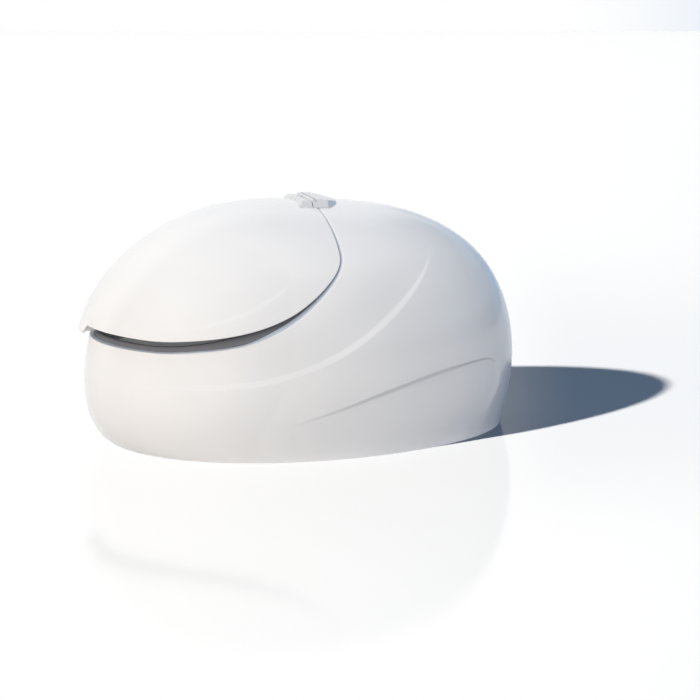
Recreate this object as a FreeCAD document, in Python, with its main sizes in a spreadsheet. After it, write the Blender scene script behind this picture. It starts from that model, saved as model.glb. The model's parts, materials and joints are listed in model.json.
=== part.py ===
import FreeCAD
import Part
import Sketcher
import math
import os

from FreeCAD import Placement, Rotation, Vector

# Flotation tank: an egg-shaped moulded pod with a hinged nose lid, a bath inside it and a
# plant bay at the tail.  Lengths are in millimetres.  Everything is laid out in hull
# coordinates: X along the pod with the nose at -X, Y across it, Z up from the floor.

doc = FreeCAD.newDocument("flotation_tank")
sheet = doc.addObject("Spreadsheet::Sheet", "sizes")

SIZES = {
    # hull
    "hull_length": 2500.0,
    "hull_width": 1770.0,
    "hull_height": 1299.0,
    "egg_shift": 142.0,          # how far the widest station lies ahead of the middle
    "crown_radius": 50.0,        # small flat crown under the hinge
    "skin": 8.0,
    "fit_gap": 0.3,
    "centre_x": 10.0,            # puts the middle of the whole tank over the origin
    # parting line between lid and body, seen from the side and from above
    "rim_level": 582.0,
    "rim_nose_gap": 304.0,
    "rim_front_reach": 476.0,
    "rim_rear_x": 110.0,
    "rim_rear_level": 1089.0,
    "rim_rear_reach": 208.0,
    "rim_crown_x": 40.0,
    "rim_crown_bow": 47.5,       # how far the line has moved back 500 mm from the middle
    "seam_gap": 6.0,
    # coaming, seal and liners
    "coaming_outer": 24.0,
    "coaming_inner": 50.0,
    "coaming_rise": 14.0,
    "ledge_drop": 12.0,
    "coaming_depth": 34.0,
    "seal_height": 9.0,
    "seal_skin": 3.0,
    "liner_inset": 60.0,
    "liner_skin": 6.0,
    "lid_skin": 7.0,
    "lid_liner_inset": 48.0,
    # lid
    "ajar": 3.41,                # how far the lid stands above the line of the hull
    "lid_overlap": 0.76,         # shut, the lid stands this far above the line of the hull
    "lip_reach": 24.0,
    "lip_clearance": 4.0,
    "lip_radius": 158.0,
    "lip_drop": 30.0,
    "lip_rise": 24.0,
    # hinge on the crown
    "hinge_x": 30.0,
    "hinge_rise": 14.0,
    "hinge_width": 500.0,
    "knuckle_radius": 12.0,
    "hinge_pin_radius": 5.0,
    "pin_clearance": 0.08,
    "knuckle_gap": 1.0,
    "lid_leaf_front": 82.0,
    "body_leaf_rear": 162.0,
    "hood_height": 26.0,
    "leaf_height": 13.0,
    "hinge_screw_radius": 4.0,
    "body_bolt_reach": 80.0,
    "lid_bolt_reach": 45.0,
    "hinge_screw_inner": 60.0,
    "hinge_screw_outer": 180.0,
    "lid_knuckle_inner": 100.0,
    "lid_knuckle_outer": 140.0,
    "hood_flat": 45.0,           # level top of the hood behind the pin
    "hood_tail_height": 3.0,
    "hood_half_breadth": 280.0,  # of the rounded tongue the hood tapers to
    "leaf_depth": 60.0,
    "leaf_bevel": 16.0,
    "leaf_bevel_drop": 22.0,
    "leaf_side_slope": 40.0,
    "leaf_arm_thickness": 9.0,
    # bath
    "flange_level": 480.0,
    "flange_thickness": 8.0,
    "bath_nose_gap": 140.0,
    "bath_tail_gap": 380.0,
    "bath_half_width": 650.0,
    "bath_wall": 6.0,
    "bath_floor": 124.0,
    "bath_draft": 70.0,
    # base frame
    "rail_size": 40.0,
    "rail_bottom": 25.0,
    "rail_y": 330.0,
    "front_rail_x": -300.0,
    "rear_rail_x": 280.0,
    "middle_foot_x": 100.0,
    "frame_nose_gap": 370.0,
    "frame_tail_gap": 220.0,
    "foot_radius": 32.0,
    "foot_height": 12.0,
    "stud_radius": 6.0,
    "bearer_width": 60.0,
    "first_bearer_x": -700.0,
    "bearer_pitch": 345.0,
    # service panel at the tail
    "panel_half_width": 260.0,
    "panel_bottom": 116.0,
    "panel_top": 424.0,
    "panel_gap": 4.0,
    "panel_axis_level": 170.0,
    "panel_hinge_y": 100.0,
    "panel_lug_radius": 9.0,
    "panel_lug_width": 16.0,
    "panel_arm_width": 8.0,
    "panel_arm_height": 20.0,
    "panel_pin_radius": 4.0,
    # fittings in the bath and its shelf
    "suction_tail_gap": 780.0,
    "suction_hole_radius": 35.0,
    "suction_grille_radius": 50.0,
    "suction_wall": 6.0,
    "lamp_level": 300.0,
    "lamp_radius": 30.0,
    "lamp_bezel_radius": 42.0,
    "lamp_wall": 4.0,
    "lamp_depth": 36.0,
    "lamp_length": 160.0,
    "jet_y": 60.0,
    "jet_level": 300.0,
    "jet_ball_radius": 18.0,
    "jet_neck_wall": 6.0,
    "jet_neck_length": 40.0,
    "jet_tail_gap": 404.0,
    "jet_bore_radius": 6.0,
    "jet_feed_radius": 10.0,
    "jet_ring_radius": 36.0,
    "button_x": -100.0,
    "button_y": 735.0,
    "button_radius": 20.0,
    "button_stem_radius": 6.0,
    "button_travel": 4.0,
    "button_ring_radius": 30.0,
    "button_barrel_radius": 13.7,
    "fan_tail_gap": 240.0,
    "fan_radius": 52.0,
    "fan_grille_radius": 62.0,
    "fan_depth": 26.0,
    "fan_hub_radius": 16.0,
    "fan_post_radius": 4.0,
    "fan_spoke_depth": 4.0,
    "fan_blade_width": 14.0,
    "fan_blade_pitch": 30.0,
    "intercom_tail_gap": 250.0,
    "intercom_y": 185.0,
    "intercom_radius": 42.0,
    "intercom_body_radius": 28.0,
    # plant bay
    "tray_front_tail_gap": 400.0,
    "tray_rear_tail_gap": 204.0,
    "tray_half_width": 300.0,
    "tray_thickness": 8.0,
    "panel_board_thickness": 6.0,
    "board_top": 420.0,
    "plant_board_half_width": 220.0,
    "pump_tail_gap": 320.0,
    "pump_y": 50.0,
    "pump_level": 165.0,
    "pump_case_radius": 78.0,
    "pump_chamber_radius": 56.0,
    "pump_inlet_radius": 26.0,
    "pump_case_length": 66.0,
    "pump_wall": 8.0,
    "pump_port_top": 100.0,
    "motor_radius": 62.0,
    "motor_bore_radius": 48.0,
    "motor_length": 184.0,
    "motor_end_wall": 14.0,
    "shaft_radius": 8.0,
    "shaft_clearance": 0.08,
    "impeller_radius": 50.0,
    "rotor_radius": 47.0,
    "filter_y": -250.0,
    "filter_radius": 78.0,
    "filter_wall": 8.0,
    "filter_height": 300.0,
    "filter_boss": 12.0,
    "filter_cap_radius": 86.0,
    "cartridge_radius": 64.0,
    "cartridge_bore_radius": 22.0,
    "filter_inlet_level": 310.0,
    "filter_outlet_level": 130.0,
    "treatment_tail_gap": 159.0,
    "heater_level": 250.0,
    "lamp_tube_level": 370.0,
    "treatment_radius": 36.0,
    "treatment_half_length": 175.0,
    "saddle_y": 80.0,
    "saddle_width": 40.0,
    "saddle_height": 24.0,
    "pipe_radius": 18.0,
    "pipe_bore_radius": 15.0,
    "pipe_bend": 34.0,
    "suction_level": 92.0,
    "drain_boss_radius": 11.0,
    "drain_boss_height": 10.0,
    "drain_stem_radius": 5.0,
    "drain_handle_reach": 28.0,
    "return_level": 445.0,
    "return_y": -215.0,
    "manifold_tail_gap": 360.0,
    "manifold_half_width": 95.0,
    "manifold_half_height": 30.0,
    "control_box_depth": 60.0,
    "control_box_width": 180.0,
    "control_box_height": 190.0,
    "control_box_y": -60.0,
    "control_box_bottom": 205.0,
    "control_box_wall": 3.0,
    "inlet_tail_gap": 350.0,
    "inlet_level": 80.0,
    "inlet_radius": 22.0,
    "inlet_depth": 50.0,
    "inlet_socket_depth": 20.0,
    "inlet_stand": 6.0,
    # gas struts under the roof
    "strut_y": 470.0,
    "strut_body_x": 205.0,
    "strut_body_level": 1050.0,
    "strut_lid_x": -113.5,
    "strut_lid_level": 1031.0,
    "strut_tube_radius": 11.0,
    "strut_rod_radius": 5.0,
    "strut_stud_radius": 4.0,
    "strut_eye_radius": 9.0,
    "strut_open_eye_radius": 18.0,
    "strut_open_clearance": 8.8,
    "strut_eye_width": 8.0,
    "strut_bracket_thickness": 8.0,
    "strut_bracket_width": 44.0,
    "strut_foot_width": 60.0,
    "strut_side_gap": 2.0,       # between a strut's tube and its bracket
    "strut_tube_wall": 2.0,
    "strut_tube_share": 0.72,    # tube's part of the whole strut at rest
    "strut_piston_start": 24.0,
}

for row, (alias, value) in enumerate(SIZES.items(), start=1):
    sheet.set("A%d" % row, alias)
    sheet.set("B%d" % row, str(value))
    sheet.setAlias("B%d" % row, alias)
doc.recompute()


def size(alias):
    return float(getattr(sheet, alias))


def from_tail(alias):
    """A station that keeps its distance from the tail of the hull."""
    return size("hull_length") / 2 - size(alias)


def from_nose(alias):
    """A station that keeps its distance from the nose of the hull."""
    return size(alias) - size("hull_length") / 2


# ---------------------------------------------------------------- egg-shaped surfaces
# Stations of the hull from the floor to the crown: height as a share of the hull's height,
# nose and tail as shares of half its length, breadth as a share of half its width.
HULL_STATIONS = (
    (0.000, -0.910, 0.938, 0.959),
    (0.030, -0.950, 0.942, 0.955),
    (0.140, -1.000, 0.982, 0.994),
    (0.330, -0.990, 1.000, 1.007),
    (0.560, -0.944, 0.966, 0.962),
    (0.800, -0.743, 0.822, 0.783),
    (0.960, -0.446, 0.526, 0.490),
    (1.000, -0.203, 0.243, 0.225),
)
AROUND = 16


def ring_of_poles(level, front, rear, half_width, shift):
    """Poles of one periodic cubic ring: an ellipse whose widest station is moved by shift."""
    first = (2 + math.cos(2 * math.pi / AROUND)) / 3
    second = (2 + math.cos(4 * math.pi / AROUND)) / 3
    middle = (front + rear) / 2
    reach = (rear - front) / 2
    poles = []
    for step in range(AROUND):
        turn = 2 * math.pi * step / AROUND
        x = middle + shift / 2 + reach * math.cos(turn) / first - shift / 2 * math.cos(2 * turn) / second
        y = half_width * math.sin(turn) / first
        poles.append(Vector(x, y, level))
    return poles


def egg_solid(rings):
    """Closed solid through a stack of pole rings, with a flat face at each end."""
    rows = len(rings)
    surface = Part.BSplineSurface()
    surface.buildFromPolesMultsKnots(
        rings, [4] + [1] * (rows - 4) + [4], [1] * (AROUND + 1),
        list(range(rows - 2)), list(range(AROUND + 1)), False, True, 3, 3)
    side = surface.toShape()
    ends = [Part.Face(Part.Wire([edge])) for edge in side.Edges if edge.BoundBox.ZLength < 0.001]
    shell = Part.makeShell([side] + ends)
    shell.sewShape()
    return Part.makeSolid(shell)


def hull(inset):
    """The pod's outer form, drawn in by inset on every side."""
    half_length = size("hull_length") / 2
    half_width = size("hull_width") / 2
    height = size("hull_height")
    stations = list(HULL_STATIONS)
    crown_x = (HULL_STATIONS[-1][1] + HULL_STATIONS[-1][2]) / 2 + 0.003
    crown = size("crown_radius")
    stations.append((1.0, crown_x - crown / half_length, crown_x + crown / half_length, crown / half_width))
    rings = []
    for level, front, rear, breadth in stations:
        shift = -size("egg_shift") * breadth * (half_length - inset) / half_length
        rings.append(ring_of_poles(
            level * (height - inset), front * (half_length - inset), rear * (half_length - inset),
            breadth * (half_width - inset), shift))
    return egg_solid(rings)


def bath(outset):
    """The bath's inner form, let out by outset on every side and below."""
    front = from_nose("bath_nose_gap") - outset
    rear = from_tail("bath_tail_gap") + outset
    wide = size("bath_half_width") + outset
    floor = size("bath_floor") + size("bath_wall") - outset
    top = size("flange_level") + size("flange_thickness") + 2 * outset
    draft = size("bath_draft")
    stations = (
        (floor, 5.0 * draft),
        (floor, 2.4 * draft),
        (floor + 0.5 * draft, 1.0 * draft),
        (0.45 * floor + 0.55 * top, 0.4 * draft),
        (top, 0.0),
    )
    rings = []
    for level, inward in stations:
        shift = -size("egg_shift") * (wide - inward) / (size("hull_width") / 2)
        rings.append(ring_of_poles(level, front + inward, rear - inward, wide - inward, shift))
    return egg_solid(rings)


# ---------------------------------------------------------------- the parting line
def parting_points(offset, count=9):
    """Points along the side view of the parting line, moved by offset towards the lid."""
    start = (from_nose("rim_nose_gap"), size("rim_level"))
    lead = (start[0] + size("rim_front_reach"), start[1])
    finish = (size("rim_rear_x"), size("rim_rear_level"))
    trail = (finish[0], finish[1] - size("rim_rear_reach"))
    points = []
    for step in range(count):
        part = step / (count - 1)
        rest = 1 - part
        shares = (rest ** 3, 3 * part * rest ** 2, 3 * part ** 2 * rest, part ** 3)
        slopes = (-rest ** 2, rest ** 2 - 2 * part * rest, 2 * part * rest - part ** 2, part ** 2)
        x = sum(share * corner[0] for share, corner in zip(shares, (start, lead, trail, finish)))
        z = sum(share * corner[1] for share, corner in zip(shares, (start, lead, trail, finish)))
        run = sum(slope * corner[0] for slope, corner in zip(slopes, (start, lead, trail, finish)))
        rise = sum(slope * corner[1] for slope, corner in zip(slopes, (start, lead, trail, finish)))
        length = math.hypot(run, rise)
        points.append(Vector(x - offset * rise / length, 0, z + offset * run / length))
    return points


def lid_side(offset):
    """Everything on the lid's side of the parting line moved by offset towards the lid."""
    far = size("hull_length")
    wide = size("hull_width")
    high = 2 * size("hull_height")
    points = parting_points(offset)
    sweep = Part.BSplineCurve()
    sweep.interpolate(Points=points, InitialTangent=Vector(1, 0, 0), FinalTangent=Vector(0, 0, 1))
    nose = Vector(-far, 0, points[0].z)
    roof = Vector(points[-1].x, 0, high)
    corner = Vector(-far, 0, high)
    outline = Part.Wire([
        Part.makeLine(nose, points[0]), sweep.toShape(), Part.makeLine(points[-1], roof),
        Part.makeLine(roof, corner), Part.makeLine(corner, nose)])
    profile = Part.Face(outline)
    profile.translate(Vector(0, -wide, 0))
    side = profile.extrude(Vector(0, 2 * wide, 0))
    crown_x = size("rim_crown_x") - offset
    side_x = crown_x + size("rim_crown_bow") * (wide / 500.0) ** 2
    back = Part.BezierCurve()
    back.setPoles([Vector(side_x, -wide, 0), Vector(2 * crown_x - side_x, 0, 0), Vector(side_x, wide, 0)])
    front_left = Vector(-far, wide, 0)
    front_right = Vector(-far, -wide, 0)
    plan = Part.Wire([
        back.toShape(), Part.makeLine(Vector(side_x, wide, 0), front_left),
        Part.makeLine(front_left, front_right), Part.makeLine(front_right, Vector(side_x, -wide, 0))])
    return side.common(Part.Face(plan).extrude(Vector(0, 0, high)))


def slab(bottom, top):
    """A block between two levels, wider than the pod."""
    far = size("hull_length")
    wide = size("hull_width")
    return Part.makeBox(2 * far, 2 * wide, top - bottom, Vector(-far, -wide, bottom))


# ---------------------------------------------------------------- placing and finishing
parts = []


def hull_frame(x=0.0, y=0.0, z=0.0, axis=(0, 0, 1), angle=0.0):
    """A placement given in hull coordinates."""
    return Placement(Vector(x, y, z), Rotation(Vector(*axis), angle))


def tank_frame():
    """From hull coordinates to the tank's own frame, whose origin is under its middle."""
    return Placement(Vector(size("centre_x"), 0, 0), Rotation())


def lid_frame():
    """The same for pieces on the lid, which stands ajar about the crown hinge."""
    pivot = Vector(size("hinge_x"), 0, size("hull_height") + size("hinge_rise"))
    return tank_frame().multiply(Placement(Vector(), Rotation(Vector(0, 1, 0), size("ajar")), pivot))


def keep(piece, frame=None):
    """List a sub-part and carry it from hull coordinates to its place in the tank."""
    frame = frame or tank_frame()
    piece.Placement = frame.multiply(piece.Placement)
    parts.append(piece)
    return piece


def formed(label, shape, frame=None):
    """A sub-part whose skin follows the hull, the bath or the parting line."""
    piece = doc.addObject("Part::Feature", label)
    piece.Shape = shape
    return keep(piece, frame)


def joined(label, pieces):
    """Several like solids kept together under one name."""
    group = doc.addObject("Part::Compound", label)
    group.Links = pieces
    return group


def bind(piece, sizes):
    for name, text in sizes.items():
        words = text.replace("(", "( ").replace(")", " )").split()
        piece.setExpression(name, " ".join("sizes." + word if word in SIZES else word for word in words))


def primitive(kind, label, sizes, place=None):
    piece = doc.addObject("Part::" + kind, label)
    piece.Placement = place or Placement()
    bind(piece, sizes)
    return piece


def combined(kind, label, base, tool):
    piece = doc.addObject("Part::" + kind, label)
    piece.Base = base
    piece.Tool = tool
    return piece


def fused(label, pieces):
    piece = doc.addObject("Part::MultiFuse", label)
    piece.Shapes = pieces
    return piece


def sketch_on(body, plane, depth="0"):
    """A sketch on one of a body's own origin planes, moved along its normal by depth."""
    sketch = body.newObject("Sketcher::SketchObject", body.Name + "_sketch")
    flat = [item for item in body.Origin.OriginFeatures if item.Role == plane][0]
    sketch.AttachmentSupport = [(flat, "")]
    sketch.MapMode = "FlatFace"
    bind(sketch, {"AttachmentOffset.Base.z": depth})
    return sketch


def fix_point(sketch, geometry, corner, x, y):
    """Dimension a point of a sketch from the sketch's own origin."""
    for kind, text in (("DistanceX", x), ("DistanceY", y)):
        number = sketch.addConstraint(Sketcher.Constraint(kind, -1, 1, geometry, corner, 1.0))
        bind(sketch, {"Constraints[%d]" % number: text})


def draw_outline(sketch, corners):
    """Closed outline of straight lines whose corners are expressions of the sheet."""
    count = len(corners)
    rough = []
    for number in range(count):
        turn = 2 * math.pi * number / count
        rough.append(Vector(100 * math.cos(turn), 100 * math.sin(turn), 0))
    first = sketch.GeometryCount
    for number in range(count):
        sketch.addGeometry(Part.LineSegment(rough[number], rough[(number + 1) % count]))
    for number in range(count):
        following = first + (number + 1) % count
        sketch.addConstraint(Sketcher.Constraint("Coincident", first + number, 2, following, 1))
    for number, (x, y) in enumerate(corners):
        fix_point(sketch, first + number, 1, x, y)


def draw_circle(sketch, x, y, radius):
    number = sketch.addGeometry(Part.Circle(Vector(1, 1, 0), Vector(0, 0, 1), 1.0))
    fix_point(sketch, number, 3, x, y)
    constraint = sketch.addConstraint(Sketcher.Constraint("Radius", number, 1.0))
    bind(sketch, {"Constraints[%d]" % constraint: radius})


def padded(body, plane, draw, length, depth="0", symmetric=False):
    sketch = sketch_on(body, plane, depth)
    draw(sketch)
    pad = body.newObject("PartDesign::Pad", body.Name + "_pad")
    pad.Profile = sketch
    if symmetric:
        pad.Midplane = True
    bind(pad, {"Length": length})
    return pad


def turned(body, plane, corners):
    """Revolve an outline about the sketch's upright axis."""
    sketch = sketch_on(body, plane)
    draw_outline(sketch, corners)
    revolved = body.newObject("PartDesign::Revolution", body.Name + "_turn")
    revolved.Profile = sketch
    revolved.ReferenceAxis = (sketch, ["V_Axis"])
    revolved.Angle = 360
    return revolved


# ---------------------------------------------------------------- body, coaming and liners
gap = size("fit_gap")
far = size("hull_length")
UP = (0, 0, 1)
BACK = (1, 0, 0)
crown = size("hull_height")
axis_level = crown + size("hinge_rise")
flange_bottom = size("flange_level")
flange_top = flange_bottom + size("flange_thickness")
outer_form = hull(0)
skin_form = hull(size("skin"))
lining_form = hull(size("skin") + gap)
bath_form = bath(0)
bath_outside = bath(size("bath_wall") + gap)
body_parting = lid_side(0)
ledge_parting = lid_side(-size("coaming_depth") - gap)


def rod(radius, start, along, length):
    return Part.makeCylinder(radius, length, Vector(*start), Vector(*along))


def crown_point(x, y):
    """Height of the outer form above a point of the floor."""
    line = Part.makeLine(Vector(x, y, crown / 2), Vector(x, y, 2 * crown))
    return line.common(outer_form).BoundBox.ZMax


def side_point(x, z):
    """Half breadth of the outer form at a station and a level."""
    line = Part.makeLine(Vector(x, 0, z), Vector(x, far, z))
    return line.common(outer_form).BoundBox.YMax


def tail_point(y, z):
    """How far back the outer form reaches at a breadth and a level."""
    line = Part.makeLine(Vector(0, y, z), Vector(far, y, z))
    return line.common(outer_form).BoundBox.XMax


def window(margin):
    """The service opening at the tail, made smaller by margin on each side."""
    half = size("panel_half_width") - margin
    bottom = size("panel_bottom") + margin
    top = size("panel_top") - margin
    return Part.makeBox(far, 2 * half, top - bottom, Vector(far / 5, -half, bottom))


# stations along the pod
gland_x = from_tail("inlet_tail_gap")
suction_x = from_tail("suction_tail_gap")
jet_x = from_tail("jet_tail_gap")
manifold_x = from_tail("manifold_tail_gap")
fan_x = from_tail("fan_tail_gap")
intercom_x = from_tail("intercom_tail_gap")
pump_x = from_tail("pump_tail_gap")
tray_front = from_tail("tray_front_tail_gap")
tray_rear = from_tail("tray_rear_tail_gap")

inlet_y = side_point(gland_x, size("inlet_level"))
inlet_hole = rod(size("inlet_radius") + gap, (gland_x, 0, size("inlet_level")), (0, 1, 0), far)

bolt_reach = (size("hinge_screw_inner"), size("hinge_screw_outer"))
body_bolts = []
lid_bolts = []
for side in (-1, 1):
    for reach in bolt_reach:
        body_bolts.append((size("hinge_x") + size("body_bolt_reach"), side * reach))
        lid_bolts.append((size("hinge_x") - size("lid_bolt_reach"), side * reach))
bolt_radius = size("hinge_screw_radius")


def bolt_holes(places, radius):
    holes = [rod(radius, (x, y, crown - 120), (0, 0, 1), 240) for x, y in places]
    return holes[0].multiFuse(holes[1:])


body = outer_form.cut(skin_form).cut(body_parting).cut(window(0)).cut(inlet_hole)
formed("body_shell", body.cut(bolt_holes(body_bolts, bolt_radius + gap)))

ledge = lining_form.cut(hull(size("liner_inset") + size("liner_skin")))
ledge = ledge.common(lid_side(-size("coaming_depth")).cut(lid_side(-size("ledge_drop"))))
seal_skin = size("seal_skin")
upstand_form = hull(size("coaming_outer") + seal_skin).cut(hull(size("coaming_inner") - seal_skin))
upstand = upstand_form.common(lid_side(-size("ledge_drop")).cut(lid_side(size("coaming_rise"))))
formed("opening_coaming", ledge.fuse(upstand))

# The seal is a channel pushed over the upstand, with a bulb on top that the lid presses.
seal_top = size("coaming_rise") + gap + size("seal_height")
seal_form = hull(size("coaming_outer")).cut(hull(size("coaming_inner")))
seal_form = seal_form.common(lid_side(gap - size("ledge_drop")).cut(lid_side(seal_top)))
seal_wall = seal_skin - gap
upstand_room = hull(size("coaming_outer") + seal_wall).cut(hull(size("coaming_inner") - seal_wall))
formed("rim_seal", seal_form.cut(upstand_room.cut(lid_side(size("coaming_rise") + gap))))

above_flange = slab(flange_top + gap, 2 * crown)
liner = hull(size("liner_inset")).cut(hull(size("liner_inset") + size("liner_skin")))
formed("canopy_liner", liner.common(above_flange).cut(ledge_parting))

lining = lining_form.cut(hull(size("coaming_outer"))).common(above_flange).cut(ledge_parting)
formed("canopy_insulation", lining.cut(bolt_holes(body_bolts, 3 * bolt_radius)))


# ---------------------------------------------------------------- lid
def dropped(shape):
    """A form of the shut lid, turned back from the shut angle to the line of the hull."""
    turned_back = shape.copy()
    turned_back.rotate(Vector(size("hinge_x"), 0, axis_level), Vector(0, 1, 0), -size("lid_overlap"))
    return turned_back


lid_parting = dropped(lid_side(size("seam_gap")))
lid_skin = outer_form.cut(hull(size("lid_skin"))).common(lid_parting)
nose_line = Part.makeLine(Vector(0, 0, size("rim_level")), Vector(-far, 0, size("rim_level")))
lip_centre = nose_line.common(outer_form).BoundBox.XMin - size("lip_reach") + size("lip_radius")


def lip_form(outset):
    """The beak under the nose, let out by outset on every side."""
    low = (lip_centre, 0, size("rim_level") - size("lip_drop") - outset)
    height = size("lip_drop") + size("lip_rise") + 2 * outset
    return dropped(rod(size("lip_radius") + outset, low, UP, height).cut(hull(outset - size("lip_clearance"))))


lid_holes = bolt_holes(lid_bolts, bolt_radius + gap)
formed("lid_shell", lid_skin.fuse(lip_form(0)).cut(lid_holes), lid_frame())

lid_inside = size("lid_liner_inset") + size("liner_skin")
flange_side = dropped(lid_side(seal_top + gap))
quilt_side = dropped(lid_side(seal_top + 2 * gap + size("liner_skin")))
flange_band = flange_side.cut(dropped(lid_side(seal_top + gap + size("liner_skin"))))
lid_flange = hull(size("lid_skin") + gap).cut(hull(lid_inside)).common(flange_band)
lid_lining = hull(size("lid_liner_inset")).cut(hull(lid_inside)).common(flange_side)
formed("lid_liner", lid_flange.cut(lip_form(gap)).fuse(lid_lining), lid_frame())

quilt = hull(size("lid_skin") + gap).cut(hull(size("coaming_outer")))
quilt = quilt.common(quilt_side)
formed("lid_insulation", quilt.cut(bolt_holes(lid_bolts, 3 * bolt_radius)), lid_frame())


# ---------------------------------------------------------------- crown hinge
# Long knuckles belong to the body leaf and two short ones to the lid leaf, on one pin.
half_hinge = size("hinge_width") / 2
lid_knuckle = (size("lid_knuckle_inner"), size("lid_knuckle_outer"))
seat_form = hull(-gap)


def both_sides(span):
    return [span, (-span[1], -span[0])]


def knuckle(span):
    return rod(size("knuckle_radius"), (size("hinge_x"), span[0], axis_level), (0, 1, 0), span[1] - span[0])


def side_profile(corners, half_width):
    """A block whose side view has the given corners."""
    points = [Vector(x, -half_width, z) for x, z in corners]
    face = Part.Face(Part.makePolygon(points + points[:1]))
    return face.extrude(Vector(0, 2 * half_width, 0))


hinge_x = size("hinge_x")
leaf_foot = crown - size("leaf_depth")
pin_bore = rod(size("hinge_pin_radius") + size("pin_clearance"), (hinge_x, -half_hinge - 1, axis_level),
               (0, 1, 0), 2 * half_hinge + 2)

hood_rear = hinge_x + size("body_leaf_rear")
hood_corners = [(hinge_x, leaf_foot), (hinge_x, crown + size("hood_height")),
                (hinge_x + size("hood_flat"), crown + size("hood_height")),
                (hood_rear, crown + size("hood_tail_height")), (hood_rear, leaf_foot)]
hood = side_profile(hood_corners, half_hinge)
plan_disc = Part.Face(Part.Wire([Part.Ellipse(
    Vector(hinge_x, 0, leaf_foot), size("hood_half_breadth"), size("body_leaf_rear")).toShape()]))
plan_disc.rotate(Vector(hinge_x, 0, leaf_foot), Vector(0, 0, 1), 90)
hood = hood.common(plan_disc.extrude(Vector(0, 0, far)))
notch_radius = size("knuckle_radius") + size("knuckle_gap")
for span in both_sides(lid_knuckle):
    low = span[0] - size("knuckle_gap")
    width = span[1] - span[0] + 2 * size("knuckle_gap")
    notch = Part.makeBox(2 * notch_radius, width, far, Vector(hinge_x - notch_radius, low, leaf_foot))
    hood = hood.cut(notch)
for span in both_sides((lid_knuckle[1] + size("knuckle_gap"), half_hinge)):
    hood = hood.fuse(knuckle(span))
middle_reach = lid_knuckle[0] - size("knuckle_gap")
hood = hood.fuse(knuckle((-middle_reach, middle_reach)))
bolt_bores = bolt_holes(body_bolts, bolt_radius + gap).common(slab(0, crown + size("skin")))
formed("hinge_body_leaf", hood.cut(pin_bore).cut(seat_form).cut(bolt_bores))

leaf_rear = hinge_x - notch_radius
leaf_front = hinge_x - size("lid_leaf_front")
leaf_top = crown + size("leaf_height")
leaf_corners = [(leaf_rear, leaf_foot), (leaf_rear, leaf_top), (leaf_front + size("leaf_bevel"), leaf_top),
                (leaf_front, leaf_top - size("leaf_bevel_drop")), (leaf_front, leaf_foot)]
leaf = side_profile(leaf_corners, half_hinge)
for side in (-1, 1):
    bevel = Part.makeBox(2 * size("leaf_depth"), size("leaf_depth"), size("leaf_depth"),
                         Vector(leaf_front - 1, side * half_hinge - size("leaf_depth") / 2, leaf_top))
    bevel.rotate(Vector(0, side * half_hinge, leaf_top), Vector(1, 0, 0), -side * size("leaf_side_slope"))
    leaf = leaf.cut(bevel)
for span in both_sides(lid_knuckle):
    thick = size("leaf_arm_thickness")
    arm = Part.makeBox(notch_radius + 2, span[1] - span[0], thick,
                       Vector(leaf_rear - 2, span[0], leaf_top - thick))
    leaf = leaf.fuse(arm).fuse(knuckle(span))
leaf_bores = bolt_holes(lid_bolts, bolt_radius + gap).common(slab(0, crown + size("skin")))
formed("hinge_lid_leaf", leaf.cut(pin_bore).cut(seat_form).cut(leaf_bores), lid_frame())

pin = doc.addObject("PartDesign::Body", "hinge_pin")
padded(pin, "XZ_Plane", lambda sketch: draw_circle(sketch, "0", "0", "hinge_pin_radius"),
       "hinge_width - 2", symmetric=True)
pin.Placement = hull_frame(hinge_x, 0, axis_level)
keep(pin)


def crown_bolts(label, places, frame):
    """Bolts put in from under the skin, with their heads below it."""
    bolts = []
    for number, (x, y) in enumerate(places):
        top = crown_point(x, y)
        shank = primitive("Cylinder", "%s_shank%d" % (label, number),
                          {"Radius": "hinge_screw_radius", "Height": "skin + 14"},
                          hull_frame(x, y, top - size("skin") - 7))
        head = primitive("Prism", "%s_head%d" % (label, number),
                         {"Circumradius": "hinge_screw_radius * 2", "Height": "hinge_screw_radius * 1.5"},
                         hull_frame(x, y, top - size("skin") - 7 - 1.5 * bolt_radius))
        head.Polygon = 6
        bolts.append(fused("%s_bolt%d" % (label, number), [shank, head]))
    keep(joined(label, bolts), frame)


crown_bolts("hinge_body_bolts", body_bolts, tank_frame())
crown_bolts("hinge_lid_bolts", lid_bolts, lid_frame())


# ---------------------------------------------------------------- bath
suction_hole = rod(size("suction_hole_radius") + gap, (suction_x, 0, 0), UP, flange_bottom / 2)
lamp_axis = (-far / 2, 0, size("lamp_level"))
lamp_hole = rod(size("lamp_radius") + gap, lamp_axis, BACK, far / 3)
jet_neck = size("jet_ball_radius") + size("jet_neck_wall")
jet_holes = [rod(jet_neck + gap, (far / 5, side * size("jet_y"), size("jet_level")), BACK, far / 3)
             for side in (-1, 1)]
shelf_under = flange_bottom - 10
fan_hole = rod(size("fan_radius"), (fan_x, 0, shelf_under), UP, 40)
intercom_hole = rod(size("intercom_body_radius") + gap, (intercom_x, size("intercom_y"), shelf_under), UP, 40)
button_holes = [rod(size("button_barrel_radius") + gap,
                    (size("button_x"), side * size("button_y"), shelf_under), UP, 40)
                for side in (-1, 1)]
shelf = lining_form.common(slab(flange_bottom, flange_top))
tub = bath(size("bath_wall")).common(slab(0, flange_bottom + 4)).fuse(shelf).cut(bath_form)
tub = tub.cut([suction_hole, lamp_hole, fan_hole, intercom_hole] + jet_holes + button_holes)
formed("bath", tub)


def bath_lining(inner, outer):
    """A layer that lies on the inside of the bath between two distances from its wall."""
    return bath(-inner).cut(bath(-outer))


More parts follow.
